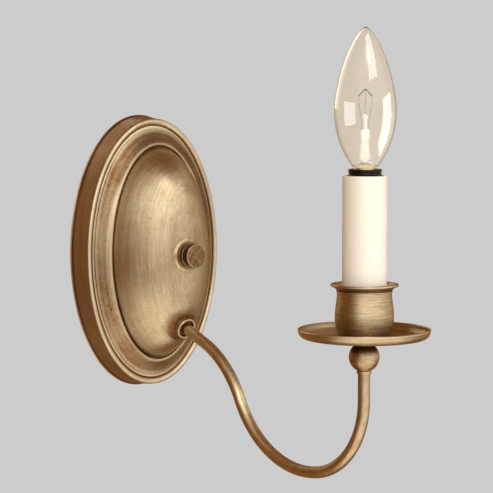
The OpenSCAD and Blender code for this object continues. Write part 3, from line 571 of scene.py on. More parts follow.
def addPiece(mesh, material, body, nodes, sizeMm=1.0, sharpDegrees=38.0,
             extraShadeAndPatina=None, extraWearAndShine=None):
    shell = bmesh.new()
    shell.from_mesh(mesh)
    bmesh.ops.remove_doubles(shell, verts=shell.verts, dist=2e-6)
    bmesh.ops.dissolve_degenerate(shell, dist=1e-7, edges=shell.edges)
    bmesh.ops.recalc_face_normals(shell, faces=shell.faces)
    shell.to_mesh(mesh)
    shell.free()
    mesh.shade_smooth()
    mesh.set_sharp_from_angle(angle=math.radians(sharpDegrees))
    if sharpDegrees < 20:  # flat plates keep flat faces
        for face in mesh.polygons:
            face.use_smooth = max(abs(value) for value in face.normal) < 0.999
    paintCurvature(mesh, sizeMm, extraShadeAndPatina, extraWearAndShine)
    mesh.materials.append(material)
    piece = bpy.data.objects.new(mesh.name, mesh)
    bpy.context.scene.collection.objects.link(piece)
    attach(piece, body)
    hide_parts(*nodes)


def hexNutRings(flats, height, bore, sides=96):
    turns = np.arange(sides) * 2 * np.pi / sides
    hexEdge = flats / 2 / np.cos(turns % (np.pi / 3) - np.pi / 6)
    chamfer = 0.35
    rise = 0.12 * flats / 2
    levels = [0.0, 0.25 * rise, 0.5 * rise, 0.75 * rise, rise]
    levels += [height - level for level in levels[::-1]]
    rows = [np.full(sides, bore), np.full(sides, bore + chamfer)]
    heights = [chamfer, 0.0]
    for level in levels:
        cap = flats / 2 * 0.96 + min(level, height - level) * 1.73  # a 30 degree chamfer
        rows.append(np.minimum(hexEdge, cap))
        heights.append(level)
    rows += [np.full(sides, bore + chamfer), np.full(sides, bore)]
    heights += [height, height - chamfer]
    rows, heights = np.array(rows), np.array(heights)
    return np.stack([rows * np.cos(turns), rows * np.sin(turns), np.repeat(heights[:, None], sides, 1)], -1)


def boredThread(radius, depth, pitch, low, high, bore, **options):
    # A threaded tube as one closed shell
    outside = threadRings(radius, depth, pitch, low, high, **options)
    inside = latheRings([(bore, high), (bore, low)], outside.shape[1])
    return np.concatenate([outside, inside])


def walk(start, heading, moves, spacing=0.8):
    # Follows straight runs ("run", length) and bends ("bend", radius, degrees, axis)
    points = [np.array(start, float)]
    heading = np.array(heading, float) / np.linalg.norm(heading)
    for move in moves:
        if move[0] == "run":
            steps = max(1, math.ceil(move[1] / spacing))
            start = points[-1]
            points += [start + heading * move[1] * (i + 1) / steps for i in range(steps)]
            continue
        radius, degrees, axis = move[1:]
        axis = np.array(axis, float) / np.linalg.norm(axis)
        inward = np.cross(axis, heading) * (1 if degrees > 0 else -1)
        centre = points[-1] + inward * radius
        arm = points[-1] - centre
        steps = max(2, math.ceil(abs(math.radians(degrees)) * radius / spacing))
        for i in range(steps):
            a = math.radians(degrees) * (i + 1) / steps
            points.append(centre + arm * math.cos(a) + np.cross(axis, arm) * math.sin(a))
        a = math.radians(degrees)
        heading = heading * math.cos(a) + np.cross(axis, heading) * math.sin(a)
    return np.array(points), heading


# Oval wall plate: rings are (half width, half height, depth from the wall)
plate = {
    "halfWidth": 49.2, "halfHeight": 79.4, "bandSide": 16.4, "bandEnd": 18.6, "sheet": 1.0,
    "domeFoot": 19.4, "domeRise": 27.3, "fall": 2.4, "round": 0.8, "long": 0.58,
    "sides": 288, "domeSteps": 120, "padProud": 0.3, "armDrop": 41.0, "armDip": 22.0,
    "knobSeat": (8.0, 1.6), "armSeat": (6.4, 3.2),  # flat radius and the width of its soft edge
    # bands in from the edge with patina and painted shade in the cove, rubbing and a painted highlight on the
    # bead: from, to, soft edge, least depth
    "covePatinaAndShade": (4.9, 12.6, 1.6, 13.9), "beadRubAndHighlight": (1.9, 4.7, 0.6, 14.6),
    # painted shade round the arm seat, a painted shadow ring round the knob, and no wear or highlight near
    # either
    "seatPaintedShade": (5.0, 6.5), "knobPaintedShadow": (7.9, 0.9), "noWearAndShineNear": 11.0,  # round the two seats
}
domeWidth = plate["halfWidth"] - plate["bandSide"]
domeHeight = plate["halfHeight"] - plate["bandEnd"]
crown = plate["domeFoot"] + plate["domeRise"]


def domeDepth(g):
    return plate["domeFoot"] + plate["domeRise"] * (1 - g ** plate["fall"]) ** plate["round"]


def bandRing(offset, depth):
    share = offset / plate["bandSide"]
    return (plate["halfWidth"] - offset, plate["halfHeight"] - plate["bandEnd"] * share, depth)


def domeRing(q, skin=0.0):
    g = q ** (1 / plate["long"])
    return ((domeWidth - skin) * g, (domeHeight - skin) * q, domeDepth(g) - skin)


seatShare = (plate["armDrop"] / domeHeight) ** (1 / plate["long"])
armSeat = np.array([0.0, -domeDepth(seatShare), -plate["armDrop"]])
armDip = math.radians(plate["armDip"])
armOut = np.array([0.0, -math.cos(armDip), -math.sin(armDip)])
armTilt = 90 + plate["armDip"]

# Front and back of the sheet's band as (distance in from the edge, depth, corner radius)
bandFront = roundCorners([
    (2.0, 0.0), (0.8, 0.0, 0.6), (0.0, 0.8, 0.6), (0.55, 1.5, 0.3), (0.82, 2.2, 0.3), (1.9, 14.2, 1.2),
    (2.1, 15.5, 1.0), (3.4, 16.15, 1.5), (4.6, 15.3, 1.0), (4.95, 14.2, 0.35), (5.5, 14.2, 0.3),
    (5.7, 14.75, 0.2), (7.1, 15.1, 1.5), (7.35, 15.28, 0.3), (9.2, 16.3, 2.0), (9.45, 16.52, 0.3),
    (11.6, 18.2, 3.0), (11.85, 18.47, 0.3), (13.6, 20.2, 1.6), (14.3, 20.75, 0.6), (15.2, 20.75, 0.5),
    (15.7, 19.7, 0.3), (16.3, 19.45, 0.15)], closed=False, stepDegrees=9.0)
bandBack = roundCorners([
    (15.6, 18.3), (13.8, 19.1, 1.0), (9.0, 15.9, 3.0), (5.56, 13.1, 1.0), (2.9, 13.1, 0.8),
    (2.1, 0.0)], closed=False)


def ovalRings(rings, sides):
    turns = np.arange(sides) * 2 * np.pi / sides
    rings = np.array(rings, float)
    return np.stack([rings[:, :1] * np.cos(turns), -np.repeat(rings[:, 2:3], sides, 1),
                     rings[:, 1:2] * np.sin(turns)], -1)


def pressSeat(points, origin, outward, flatRadius, softEdge, height):
    # Presses a round flat seat into the sheet
    fromSeat = points - origin
    along = fromSeat @ outward
    across = np.linalg.norm(fromSeat - along[..., None] * outward, axis=-1)
    share = np.clip((across - flatRadius) / softEdge, 0, 1)
    keep = share * share * (3 - 2 * share)
    near = (across < flatRadius + softEdge) & (along > -12)
    moved = points + ((height - along) * (1 - keep))[..., None] * outward
    return np.where(near[..., None], moved, points)


def buildPlate():
    sheet, proud = plate["sheet"], plate["padProud"]
    steps = np.linspace(0, 1, plate["domeSteps"])
    front = [bandRing(*point) for point in splitLong(bandFront, 0.9)]
    front += [domeRing(1 - step ** 1.5) for step in steps[:-1]] + [(1e-5, 1e-5, crown)]
    back = [(1e-5, 1e-5, crown - sheet)] + [domeRing(1 - step ** 1.5, sheet) for step in steps[::-3]]
    back += [bandRing(*point) for point in bandBack]
    frontRings = ovalRings(front, plate["sides"])
    knobSeat, straightOut = np.array([0.0, -crown, 0.0]), np.array([0.0, -1.0, 0.0])
    frontRings = pressSeat(frontRings, knobSeat, straightOut, *plate["knobSeat"], proud)
    frontRings = pressSeat(frontRings, armSeat, armOut, *plate["armSeat"], proud)
    rings = np.concatenate([frontRings, ovalRings(back, plate["sides"])])

    def inBand(offset, depth, look):
        fromEdge, toEdge, softEdge, least = look
        return np.clip(np.minimum(offset - fromEdge, toEdge - offset) / softEdge, 0, 1) * (depth > least)

    # Painted shade: a dark halo round the arm seat, a thin dark ring round the knob, and the cove's patina,
    # painted darker toward the top
    def seatShade(places):
        toSeat = places - armSeat
        across = np.linalg.norm(toSeat - (toSeat @ armOut)[:, None] * armOut, axis=1)
        seatFrom, seatFade = plate["seatPaintedShade"]
        ring = np.clip(1.25 - (across - seatFrom) / seatFade, 0, 1) ** 1.5
        ringRadius, ringWidth = plate["knobPaintedShadow"]
        toKnob = np.hypot(places[:, 0], places[:, 2])
        knobRing = np.clip(1 - np.abs(toKnob - ringRadius) / ringWidth, 0, 1) * (places[:, 1] < -40)
        outFromDome = np.hypot(places[:, 0] / plate["halfWidth"], places[:, 2] / plate["halfHeight"]) - 0.66
        offset = plate["bandSide"] * (1 - np.clip(outFromDome / 0.34, 0, 1))
        cove = inBand(offset, -places[:, 1], plate["covePatinaAndShade"])
        towardTop = np.clip(places[:, 2] / 79 - 0.2, 0, 1)
        return ring * 1.3 + knobRing * 0.5 + cove * (0.58 + 0.4 * towardTop)

    # Painted highlight with rubbing along the outer bead, and no wear or highlight near the two seats
    def beadShine(places):
        squash = plate["halfWidth"] / plate["halfHeight"]
        offset = plate["halfWidth"] - np.hypot(places[:, 0], places[:, 2] * squash)
        bead = inBand(offset, -places[:, 1], plate["beadRubAndHighlight"])
        nearSeat = np.linalg.norm(places - armSeat, axis=1) < plate["noWearAndShineNear"]
        nearKnob = np.hypot(places[:, 0], places[:, 2]) < plate["noWearAndShineNear"]
        return bead * 0.75 - 1.0 * (nearSeat | nearKnob)

    addPiece(gridMesh("ovalWallPlate", [(rings, True)]), agedBrass["plate"], "root", ["backplate"],
             sizeMm=1.6, extraShadeAndPatina=seatShade, extraWearAndShine=beadShine)


buildPlate()
print("oval wall plate")

# Wall fixing
fixing = {
    "barLength": 102.0, "barWidth": 19.0, "barThick": 2.0, "slotPitch": 79.4, "slotLength": 14.0,
    "slotWidth": 4.4, "groundHole": 2.05, "studDiameter": 6.3, "studPitch": 0.94, "threadDepth": 0.42,
    "nutAcross": 11.1, "nutHigh": 3.2, "groundDrop": 20.0, "groundHead": 4.2, "groundSlot": 1.0,
    "leadRadius": 0.7,
}


def circlePoints(radius, centre=(0.0, 0.0), sides=64):
    return arc(centre, radius, 0, 360, sides)[:-1]


def stadiumPoints(length, width, centre=(0.0, 0.0)):
    run = (length - width) / 2
    top = arc((centre[0], centre[1] + run), width / 2, 0, 180, 31)
    bottom = arc((centre[0], centre[1] - run), width / 2, 180, 360, 31)
    return top + bottom


def buildFixing():
    studRadius = fixing["studDiameter"] / 2
    drop = fixing["groundDrop"]
    barOutlines = [stadiumPoints(fixing["barLength"], fixing["barWidth"])]
    for side in (-1, 1):
        slotAt = (0.0, side * fixing["slotPitch"] / 2)
        barOutlines.append(stadiumPoints(fixing["slotLength"], fixing["slotWidth"], slotAt))
    barOutlines += [circlePoints(studRadius, sides=48), circlePoints(fixing["groundHole"], (0.0, -drop), 32)]
    points, faces = outlineMesh("crossbar", [(barOutlines, fixing["barThick"], 0.25, 0.0)])
    addPiece(flatMesh("crossbarPlate", tilt(points, (0, 0, 0), 90), faces),
             grainMaterials["zincSteel"], "root", ["crossbar"], sharpDegrees=15)

    studTop = -boxMm("center_stud")[0][1]
    stud = closeEnds(threadRings(studRadius, fixing["threadDepth"], fixing["studPitch"],
                                 0.05, studTop - 0.05, sides=40, perPitch=7, sharp=True))
    stud[0], stud[1] = stud[0] * [1, 1, 0], stud[1] * [1, 1, 0]  # its foot lies on the wall plane
    addPiece(gridMesh("threadedStud", [(tilt(stud, (0, 0, 0), 90), False)]),
             brightBrass, "root", ["center_stud"], sizeMm=0.3, sharpDegrees=60)

    nut = hexNutRings(fixing["nutAcross"], fixing["nutHigh"], studRadius)
    addPiece(gridMesh("studHexNut", [(tilt(nut, (0, -fixing["barThick"], 0), 90), True)]),
             grainMaterials["zincSteel"], "root", ["stud_lock_nut"])

    # Ground screw: shank, flange, hexagon, and two raised halves with the slot between them
    head = fixing["groundHead"]
    slotHalf = fixing["groundSlot"] / 2
    corners = circlePoints(head, sides=6)
    cutX = head - slotHalf * math.tan(math.radians(30))
    upperHalf = [(cutX, slotHalf), corners[1], corners[2], (-cutX, slotHalf)]
    lowerHalf = [(x, -y) for x, y in upperHalf[::-1]]
    shapes = [([circlePoints(head + 0.5, sides=64)], 0.7, 0.2, 2.0), ([corners], 0.7, 0.12, 2.5),
              ([upperHalf], 1.3, 0.3, 3.1), ([lowerHalf], 1.3, 0.3, 3.1),
              ([circlePoints(2.0, sides=40)], 2.2, 0.1, 0.0)]
    points, faces = outlineMesh("groundScrew", shapes)
    addPiece(flatMesh("greenGroundScrew", tilt(points, (0, 0, -drop), 90), faces),
             grainMaterials["greenPlating"], "root", ["ground_screw"], sharpDegrees=15)


buildFixing()
print("wall fixing")

# Knob and its washer
knob = {
    "diameter": 13.3, "length": 6.5, "groove": 1.6, "grooveDepth": 1.1, "bore": 3.2, "skin": 1.6,
    "tarnishAndShade": 0.75, "groovePaintedShade": 0.25, "washerDiameter": 15.0, "washer": 1.0, "washerBore": 3.25,
    "washerPaintedShade": 0.75,
}


def buildKnob():
    knobAt = -boxMm("cap_knob")[1][1]
    washerAt = -boxMm("knob_washer")[1][1]
    full, groove, bore = knob["length"], knob["groove"], knob["bore"]
    outer = knob["diameter"] / 2
    inner = outer - knob["grooveDepth"]
    neck = (full - groove) * 0.38
    profile = roundCorners([
        (bore, 0.0), (outer, 0.0, 0.45), (outer, neck, 0.45), (inner, neck + 0.15, 0.15),
        (inner, neck + groove - 0.15, 0.15), (outer, neck + groove, 0.35), (outer, full, 0.42),
        (outer * 0.5, full + 0.05), (1e-5, full + 0.06), (1e-5, full - knob["skin"]),
        (bore, full - knob["skin"])], stepDegrees=11)
    rings = tilt(latheRings(splitLong(profile, 0.7), 128), (0, -knobAt, 0), 90)

    # Painted shade: the knob's sides and back darker than its face, its groove darker still
    def grooveShade(places):
        along = -places[:, 1] - knobAt
        inGroove = (along > neck - 0.1) & (along < neck + groove + 0.1)
        return knob["tarnishAndShade"] * (along < full - 0.5) + knob["groovePaintedShade"] * inGroove

    addPiece(gridMesh("capKnob", [(rings, True)]), darkBrass, "knob", ["cap_knob"],
             sizeMm=0.7, extraShadeAndPatina=grooveShade)

    wide, thick, hole = knob["washerDiameter"] / 2, knob["washer"], knob["washerBore"]
    profile = roundCorners([(hole, 0.0), (wide, 0.0, 0.2), (wide, thick, 0.45), (wide - 1.0, thick - 0.02),
                            (hole, thick - 0.02)])
    rings = tilt(latheRings(profile, 128), (0, -washerAt, 0), 90)
    # The whole washer is painted dark, painted shade under the knob
    addPiece(gridMesh("knobWasher", [(rings, True)]), agedBrass["small"], "knob_slider", ["knob_washer"],
             sizeMm=0.3,
             extraShadeAndPatina=lambda places: np.full(len(places), knob["washerPaintedShade"]))


buildKnob()
print("knob")

# Arm
candleAxis = -(boxMm("candle_sleeve")[0][1] + boxMm("candle_sleeve")[1][1]) / 2  # distance from the wall
arm = {
    "radius": 3.175, "bore": 2.375, "neckRun": 21.2, "shoulderRadius": 59.0, "steep": 62.0, "steepRun": 2.0,
    "riserRadius": 43.3, "bellyTurn": 10.0, "behind": 8.8, "top": -45.7, "seatDiameter": 12.4,
    "seatHeight": 3.4, "seatPaintedShade": 0.9, "washerBehind": 3.8, "washerBore": 3.2, "washerRadius": 5.8,
    "washerThick": 1.0, "nutBehind": 6.8, "nutAcross": 9.525, "nutHigh": 3.0, "ferruleRadius": 3.82,
    "ballBore": 2.3,
}


def armPath(behind, top, across=0.0):
    # The arm's centreline, or a lead's beside it
    steep, belly = math.radians(arm["steep"]), math.radians(arm["bellyTurn"])
    neckEnd = armSeat + armOut * arm["neckRun"]
    depth = -neckEnd[1] + arm["shoulderRadius"] * (math.sin(steep) - math.sin(armDip))
    depth += arm["steepRun"] * math.cos(steep)
    bellyReach = candleAxis - depth - arm["riserRadius"] * (1 - math.sin(belly))
    bellyRadius = bellyReach / (math.sin(steep) + math.sin(belly))
    start = armSeat - armOut * behind + np.array([across, 0.0, 0.0])
    acrossX = (1.0, 0.0, 0.0)
    moves = [("run", arm["neckRun"] + behind),
             ("bend", arm["shoulderRadius"], arm["steep"] - plate["armDip"], acrossX),
             ("run", arm["steepRun"]),
             ("bend", bellyRadius, -arm["steep"] - arm["bellyTurn"], acrossX),
             ("bend", arm["riserRadius"], arm["bellyTurn"] - 90, acrossX)]
    points, _ = walk(start, armOut, moves)
    rise, _ = walk(points[-1], (0, 0, 1), [("run", top - points[-1][2])])
    return np.concatenate([points, rise[1:]])


def buildArm():
    path = armPath(arm["behind"], arm["top"])
    outside = sweepRings(path, arm["radius"], 48)
    inside = sweepRings(path, arm["bore"], 48)[::-1]
    addPiece(gridMesh("armTube", [(np.concatenate([outside, inside]), True)]), agedBrass["tube"], "root",
             ["arm_tube"], sizeMm=1.2)

    outer, high = arm["seatDiameter"] / 2, arm["seatHeight"]
    bore = arm["radius"] + 0.05
    profile = roundCorners([
        (bore, 0.0), (outer, 0.0, 0.25), (outer - 0.05, high - 1.4, 0.3), (outer, high - 1.0, 0.5),
        (outer, high, 0.62), (outer - 1.3, high, 0.62), (outer - 1.3, high - 1.2, 0.2),
        (outer - 1.45, 1.0, 0.5), (bore, 1.0)], stepDegrees=10)
    seatBase = armSeat + armOut * plate["padProud"]

    # Painted shade inside the seat ring's cup
    def insideCup(places):
        toSeat = places - armSeat
        across = np.linalg.norm(toSeat - (toSeat @ armOut)[:, None] * armOut, axis=1)
        return arm["seatPaintedShade"] * (across < outer - 1.2)

    addPiece(gridMesh("armSeatRing", [(tilt(latheRings(profile, 128), seatBase, armTilt), True)]),
             agedBrass["small"], "root", ["arm_seat_ring"], sizeMm=0.9,
             extraShadeAndPatina=insideCup)

    hole, wide, thick = arm["washerBore"], arm["washerRadius"], arm["washerThick"]
    washer = roundCorners([(hole, 0, 0), (wide, 0, 0.2), (wide, thick, 0.2), (hole, thick, 0)])
    rings = tilt(latheRings(washer, 96), armSeat - armOut * arm["washerBehind"], armTilt)
    addPiece(gridMesh("armInnerWasher", [(rings, True)]), grainMaterials["zincSteel"], "root",
             ["arm_inner_washer"])
    nut = hexNutRings(arm["nutAcross"], arm["nutHigh"], arm["washerBore"])
    rings = tilt(nut, armSeat - armOut * arm["nutBehind"], armTilt)
    addPiece(gridMesh("armHexNut", [(rings, True)]), brightBrass, "root", ["arm_lock_nut"],
             sizeMm=0.5)

    low, high = boxMm("arm_ferrule")
    tall, wide, hole = high[2] - low[2], arm["ferruleRadius"], arm["radius"] + 0.005
    profile = roundCorners([(hole, 0), (wide, 0, 0.3), (wide, tall, 0.35), (hole, tall)])
    rings = tilt(latheRings(profile, 96), (0, -candleAxis, low[2]))
    addPiece(gridMesh("armFerrule", [(rings, True)]), agedBrass["small"], "root", ["arm_ferrule"],
             sizeMm=0.6)

    low, high = boxMm("neck_ball")
    ballRadius, flat = (high[0] - low[0]) / 2, (high[2] - low[2]) / 2
    flatEdge = math.sqrt(ballRadius ** 2 - flat ** 2) - 0.2
    edge = math.degrees(math.asin(flat / ballRadius))
    profile = [(arm["ballBore"], -flat), (flatEdge, -flat)]
    profile += arc((0, 0), ballRadius, -edge, edge, 64)
    profile += [(flatEdge, flat), (arm["ballBore"], flat)]
    rings = tilt(latheRings(profile, 128), (0, -candleAxis, (low[2] + high[2]) / 2))
    # The ball's top is painted darker, painted shade under the drip pan
    addPiece(gridMesh("neckBall", [(rings, True)]), agedBrass["turned"], "root", ["neck_ball"],
             sizeMm=0.6, sharpDegrees=60,
             extraShadeAndPatina=lambda places: 1.3 * np.clip((places[:, 2] + 41.5) / 4.0, 0, 1))


buildArm()
print("arm")

# Drip pan and candle cup
pan = {
    "radius": 34.2, "height": 7.4, "thick": 1.0, "hub": 12.0, "rise": 2.2, "curve": 4.6, "bead": 0.75,
    "tarnishAndShade": 0.9, "shadeFrom": 13.0, "shadeFade": 15.0, "rimRubAndHighlight": 0.55,
}
cup = {
    "foot": 9.6, "belly": 15.2, "waist": 14.1, "lip": 17.5, "height": 29.6, "bead": 0.75, "thick": 1.0,
    "ledge": 0.38, "tarnishAndShade": 0.7,
}
nippleBore = 3.2


def outFromCandle(places):
    return np.hypot(places[:, 0], places[:, 1] + candleAxis)


def buildPan():
    base = boxMm("bobeche")[0][2]
    thick, hub, rise = pan["thick"], pan["hub"], pan["rise"]
    bendX = pan["radius"] - pan["curve"]
    wall = (bendX, rise + pan["curve"])
    bead = (pan["radius"] - pan["bead"], pan["height"] - pan["bead"])
    profile = [(nippleBore, 0.0), (hub - 0.6, 0.0), (hub, 0.03), (hub + 0.6, 0.1)]
    profile += arc(wall, pan["curve"], -84, -22, 14) + arc(bead, pan["bead"], -38, 150, 16)
    profile += arc(wall, pan["curve"] - thick, -22, -84, 12)
    profile += roundCorners([(bendX, rise + thick), (hub + 1.2, thick + 0.2, 1.5), (hub - 0.8, thick, 0.6),
                             (nippleBore, thick)], closed=False)
    rings = tilt(latheRings(splitLong(profile, 1.2), 192), (0, -candleAxis, base))

    # Painted shade on the pan round the cup's foot, fading outwards
    def panShade(places):
        outside = (outFromCandle(places) - pan["shadeFrom"]) / pan["shadeFade"]
        return pan["tarnishAndShade"] * np.clip(1 - outside, 0, 1)

    # Painted highlight with rubbing along the pan's rim
    def rimShine(places):
        return pan["rimRubAndHighlight"] * np.clip((outFromCandle(places) - pan["radius"] + 1.4) / 0.7, 0, 1)

    addPiece(gridMesh("dripPan", [(rings, True)]), agedBrass["turned"], "root", ["bobeche"],
             sizeMm=1.2, extraShadeAndPatina=panShade, extraWearAndShine=rimShine)


def buildCup():
    base = boxMm("candle_cup")[0][2]
    foot, belly, waist = cup["foot"], cup["belly"], cup["waist"]
    bellyHeight, waistHeight = cup["height"] * 0.42, cup["height"] * 0.85

    def outline(skin):
        # From the foot round the belly and up to the waist, this far inside the outer face
        lower = [(foot + (belly - foot) * math.cos(turn) - skin * math.cos(turn),
                  bellyHeight * (1 + math.sin(turn)) - skin * math.sin(turn))
                 for turn in np.radians(np.linspace(-90, 0, 24))]
        upper = [(belly + (waist - belly) * (1 - math.cos(math.pi * share)) / 2 - skin,
                  bellyHeight + (waistHeight - bellyHeight) * share) for share in np.linspace(0.04, 1, 26)]
        return lower + upper

    ledge = waist + cup["ledge"]
    flare = cup["height"] * 0.875
    lipX, lipY = cup["lip"] - cup["bead"], cup["height"] - cup["bead"]
    throat = roundCorners([
        (waist, waistHeight - 0.3), (waist, waistHeight + 0.1, 0.1), (ledge, waistHeight + 0.2, 0.15),
        (ledge, waistHeight + 0.75, 0.15), (waist + 0.1, waistHeight + 0.85, 0.15),
        (waist + 0.15, flare + 0.35, 0.5), (waist + 1.2, flare + 1.5, 1.0), (lipX - 0.2, lipY - 0.75)],
        closed=False, stepDegrees=10)
    inside = roundCorners([
        (lipX - 0.8, lipY + 0.35), (waist + 0.5, flare + 1.7, 1.0),
        (waist - cup["thick"], flare - 0.5, 0.8)], closed=False)
    profile = [(nippleBore, 0.0)] + outline(0.0) + throat + arc((lipX, lipY), cup["bead"], -75, 130, 18)
    profile += inside + outline(cup["thick"])[::-1] + [(nippleBore, cup["thick"])]
    rings = tilt(latheRings(profile, 192), (0, -candleAxis, base))
    # The cup's foot is painted darker, painted shade where it sits on the drip pan
    addPiece(gridMesh("candleCup", [(rings, True)]), agedBrass["turned"], "root", ["candle_cup"],
             sizeMm=1.1,
             extraShadeAndPatina=lambda places: cup["tarnishAndShade"] * np.clip(1 - (places[:, 2] - base - 0.5) / 3.5, 0, 1))


buildPan()
buildCup()
print("drip pan and cup")

# Socket and sleeve
sleeve = {"thick": 1.0, "rounding": 0.42}
socket = {
    "bodyRadius": 8.9, "shoulderRadius": 10.1, "rimRadius": 8.6, "wellRadius": 6.46, "wellFloor": 24.0,
    "shellInner": 5.96, "threadDepth": 0.42, "threadPitch": 2.54, "contactRadius": 1.3, "terminal": 4.4,
    "tab": 2.4, "tabThick": 0.6, "tabEdge": 0.12, "bodyBore": 1.4,
}
bracket = {
    "thick": 1.2, "edge": 0.2, "opening": 6.4, "strapWidth": 9.0, "strapHole": 2.4, "rivetRadius": 0.9,
    "rivetHead": 1.2, "nippleBore": 2.3, "nipplePitch": 1.0, "nippleDepth": 0.3, "nutAcross": 11.1,
}


def onCandle(rings, height=0.0):
    return tilt(rings, (0, -candleAxis, height))


def rectangle(left, right, low, high):
    return [(left, low), (right, low), (right, high), (left, high)]


def buildSleeve():
    low, high = boxMm("candle_sleeve")
    outer, rounding = (high[0] - low[0]) / 2, sleeve["rounding"]
    inner = outer - sleeve["thick"]
    profile = roundCorners([(inner, low[2], 0.2), (outer, low[2], 0.3), (outer, high[2], rounding),
                            (inner, high[2], rounding)], stepDegrees=12)
    rings = onCandle(latheRings(splitLong(profile, 4.0), 160))
    addPiece(gridMesh("candleSleeve", [(rings, True)]), grainMaterials["ivorySleeve"], "sleeve",
             ["candle_sleeve"])


def buildSocket():
    sleeveTop = boxMm("candle_sleeve")[1][2]
    low, high = boxMm("socket_body")
    base, top = low[2], high[2]
    body, shoulder, rim = socket["bodyRadius"], socket["shoulderRadius"], socket["rimRadius"]
    well, floor, bore = socket["wellRadius"], socket["wellFloor"], socket["bodyBore"]
    profile = roundCorners([
        (bore, base), (body, base, 0.6), (body, sleeveTop - 5.2, 0.4), (shoulder, sleeveTop - 4.0, 0.4),
        (shoulder, sleeveTop - 0.1, 0.6), (rim + 0.1, sleeveTop + 0.1, 0.25),
        (rim - 0.25, sleeveTop + 0.6, 0.2), (rim - 0.25, top - 1.6, 0.2), (rim, top - 1.3, 0.25),
        (rim, top, 0.5), (rim - 1.1, top - 0.05, 0.2), (rim - 1.3, top - 0.4, 0.1),
        (well, top - 0.45, 0.15), (well, floor), (bore, floor)], stepDegrees=10)
    addPiece(gridMesh("socketBody", [(onCandle(latheRings(profile, 144)), True)]),
             grainMaterials["blackPhenolic"], "root", ["socket_body"])

    shellTop = boxMm("socket_screw_shell")[1][2]
    inner = threadRings(socket["shellInner"], socket["threadDepth"], socket["threadPitch"],
                        floor + 0.5, shellTop, sides=96, perPitch=14)
    outside = latheRings([(well - 0.02, shellTop), (well - 0.02, floor + 0.02),
                          (3.25, floor + 0.02), (3.25, floor + 0.5)], 96)
    thread = gridMesh("shellThread", [(onCandle(np.concatenate([inner, outside])), True)])
    half, thick, edge = socket["tab"] / 2, socket["tabThick"], socket["tabEdge"]
    tabX = -socket["terminal"]
    foot = rectangle(tabX - half, tabX + half, -half, half)
    leg = rectangle(tabX - half, tabX - half + thick, -half, half)
    points, faces = outlineMesh("shellTab", [([foot], thick, edge, base), ([leg], floor - base, edge, base)])
    mesh = joinMeshes("screwShell", [thread, flatMesh("shellTab", onCandle(points), faces)])
    addPiece(mesh, brightBrass, "root", ["socket_screw_shell"], sizeMm=0.4, sharpDegrees=50)

    headTop = boxMm("socket_center_contact")[1][2]
    pin = socket["contactRadius"]
    profile = roundCorners([
        (1e-5, base), (pin, base), (pin, headTop - 0.6, 0.1), (pin + 1.0, headTop - 0.55, 0.15),
        (pin + 0.9, headTop - 0.15, 0.2), (1e-5, headTop)], closed=False)
    head = gridMesh("contactHead", [(onCandle(latheRings(profile, 64)), False)])
    tail = rectangle(0.0, socket["terminal"] + half, -half, half)
    points, faces = outlineMesh("contactTail", [([tail], thick, edge, base)])
    mesh = joinMeshes("centreContact", [head, flatMesh("contactTail", onCandle(points), faces)])
    addPiece(mesh, brightBrass, "root", ["socket_center_contact"], sizeMm=0.4)


def buildBracket():
    low, high = boxMm("riser_nipple")
    rings = boredThread(nippleBore, bracket["nippleDepth"], bracket["nipplePitch"], low[2], high[2],
                        bracket["nippleBore"], sides=48, perPitch=8, sharp=True)
    addPiece(gridMesh("threadedNipple", [(onCandle(rings), True)]), brightBrass, "root",
             ["riser_nipple"], sizeMm=0.3, sharpDegrees=60)

    low, high = boxMm("bracket_nut")
    nut = hexNutRings(bracket["nutAcross"], high[2] - low[2], nippleBore)
    addPiece(gridMesh("bracketHexNut", [(onCandle(nut, low[2]), True)]), grainMaterials["zincSteel"],
             "root", ["bracket_nut"])

    # Two discs joined by an upright strap with a window
    low, high = boxMm("socket_bracket")
    thick, edge = bracket["thick"], bracket["edge"]
    opening, rivet = bracket["opening"], bracket["rivetRadius"]
    discRadius, strapHigh = (high[0] - low[0]) / 2, high[2] - low[2]
    rivetX = (opening + discRadius) / 2
    upper = [circlePoints(discRadius, sides=96), circlePoints(opening, sides=64)]
    upper += [circlePoints(rivet, (side * rivetX, 0.0), 20) for side in (-1, 1)]
    lower = [circlePoints(discRadius - 0.6, sides=96), circlePoints(nippleBore, sides=48)]
    points, faces = outlineMesh("bracketDiscs", [(lower, thick, edge, low[2]),
                                                 (upper, thick, edge, high[2] - thick)])
    discs = flatMesh("bracketDiscs", onCandle(points), faces)
    strap = rectangle(-bracket["strapWidth"] / 2, bracket["strapWidth"] / 2, 0.0, strapHigh)
    window = circlePoints(bracket["strapHole"], (0.0, strapHigh / 2), 32)
    points, faces = outlineMesh("bracketStrap", [([strap, window], thick, edge, 0.0)])
    upright = tilt(points, (0, -candleAxis + discRadius - 0.9, low[2]), 90)
    mesh = joinMeshes("socketBracket", [discs, flatMesh("bracketStrap", upright, faces)])
    addPiece(mesh, grainMaterials["zincSteel"], "root", ["socket_bracket"], sharpDegrees=15)

    low, high = boxMm("socket_rivets")
    tall = high[2] - low[2]
    profile = roundCorners([(1e-5, 0.0), (0.8, 0.0, 0.3), (bracket["rivetHead"], 0.75, 0.15), (rivet, 0.8),
                            (rivet, tall), (1e-5, tall)], closed=False)
    shank = onCandle(latheRings(profile, 32), low[2])
    rivets = [(shank + np.array([side * rivetX, 0, 0]), False) for side in (-1, 1)]
    addPiece(gridMesh("bracketRivets", rivets), brightBrass, "root", ["socket_rivets"],
             sizeMm=0.3)


buildSleeve()
buildSocket()
buildBracket()
print("socket and sleeve")

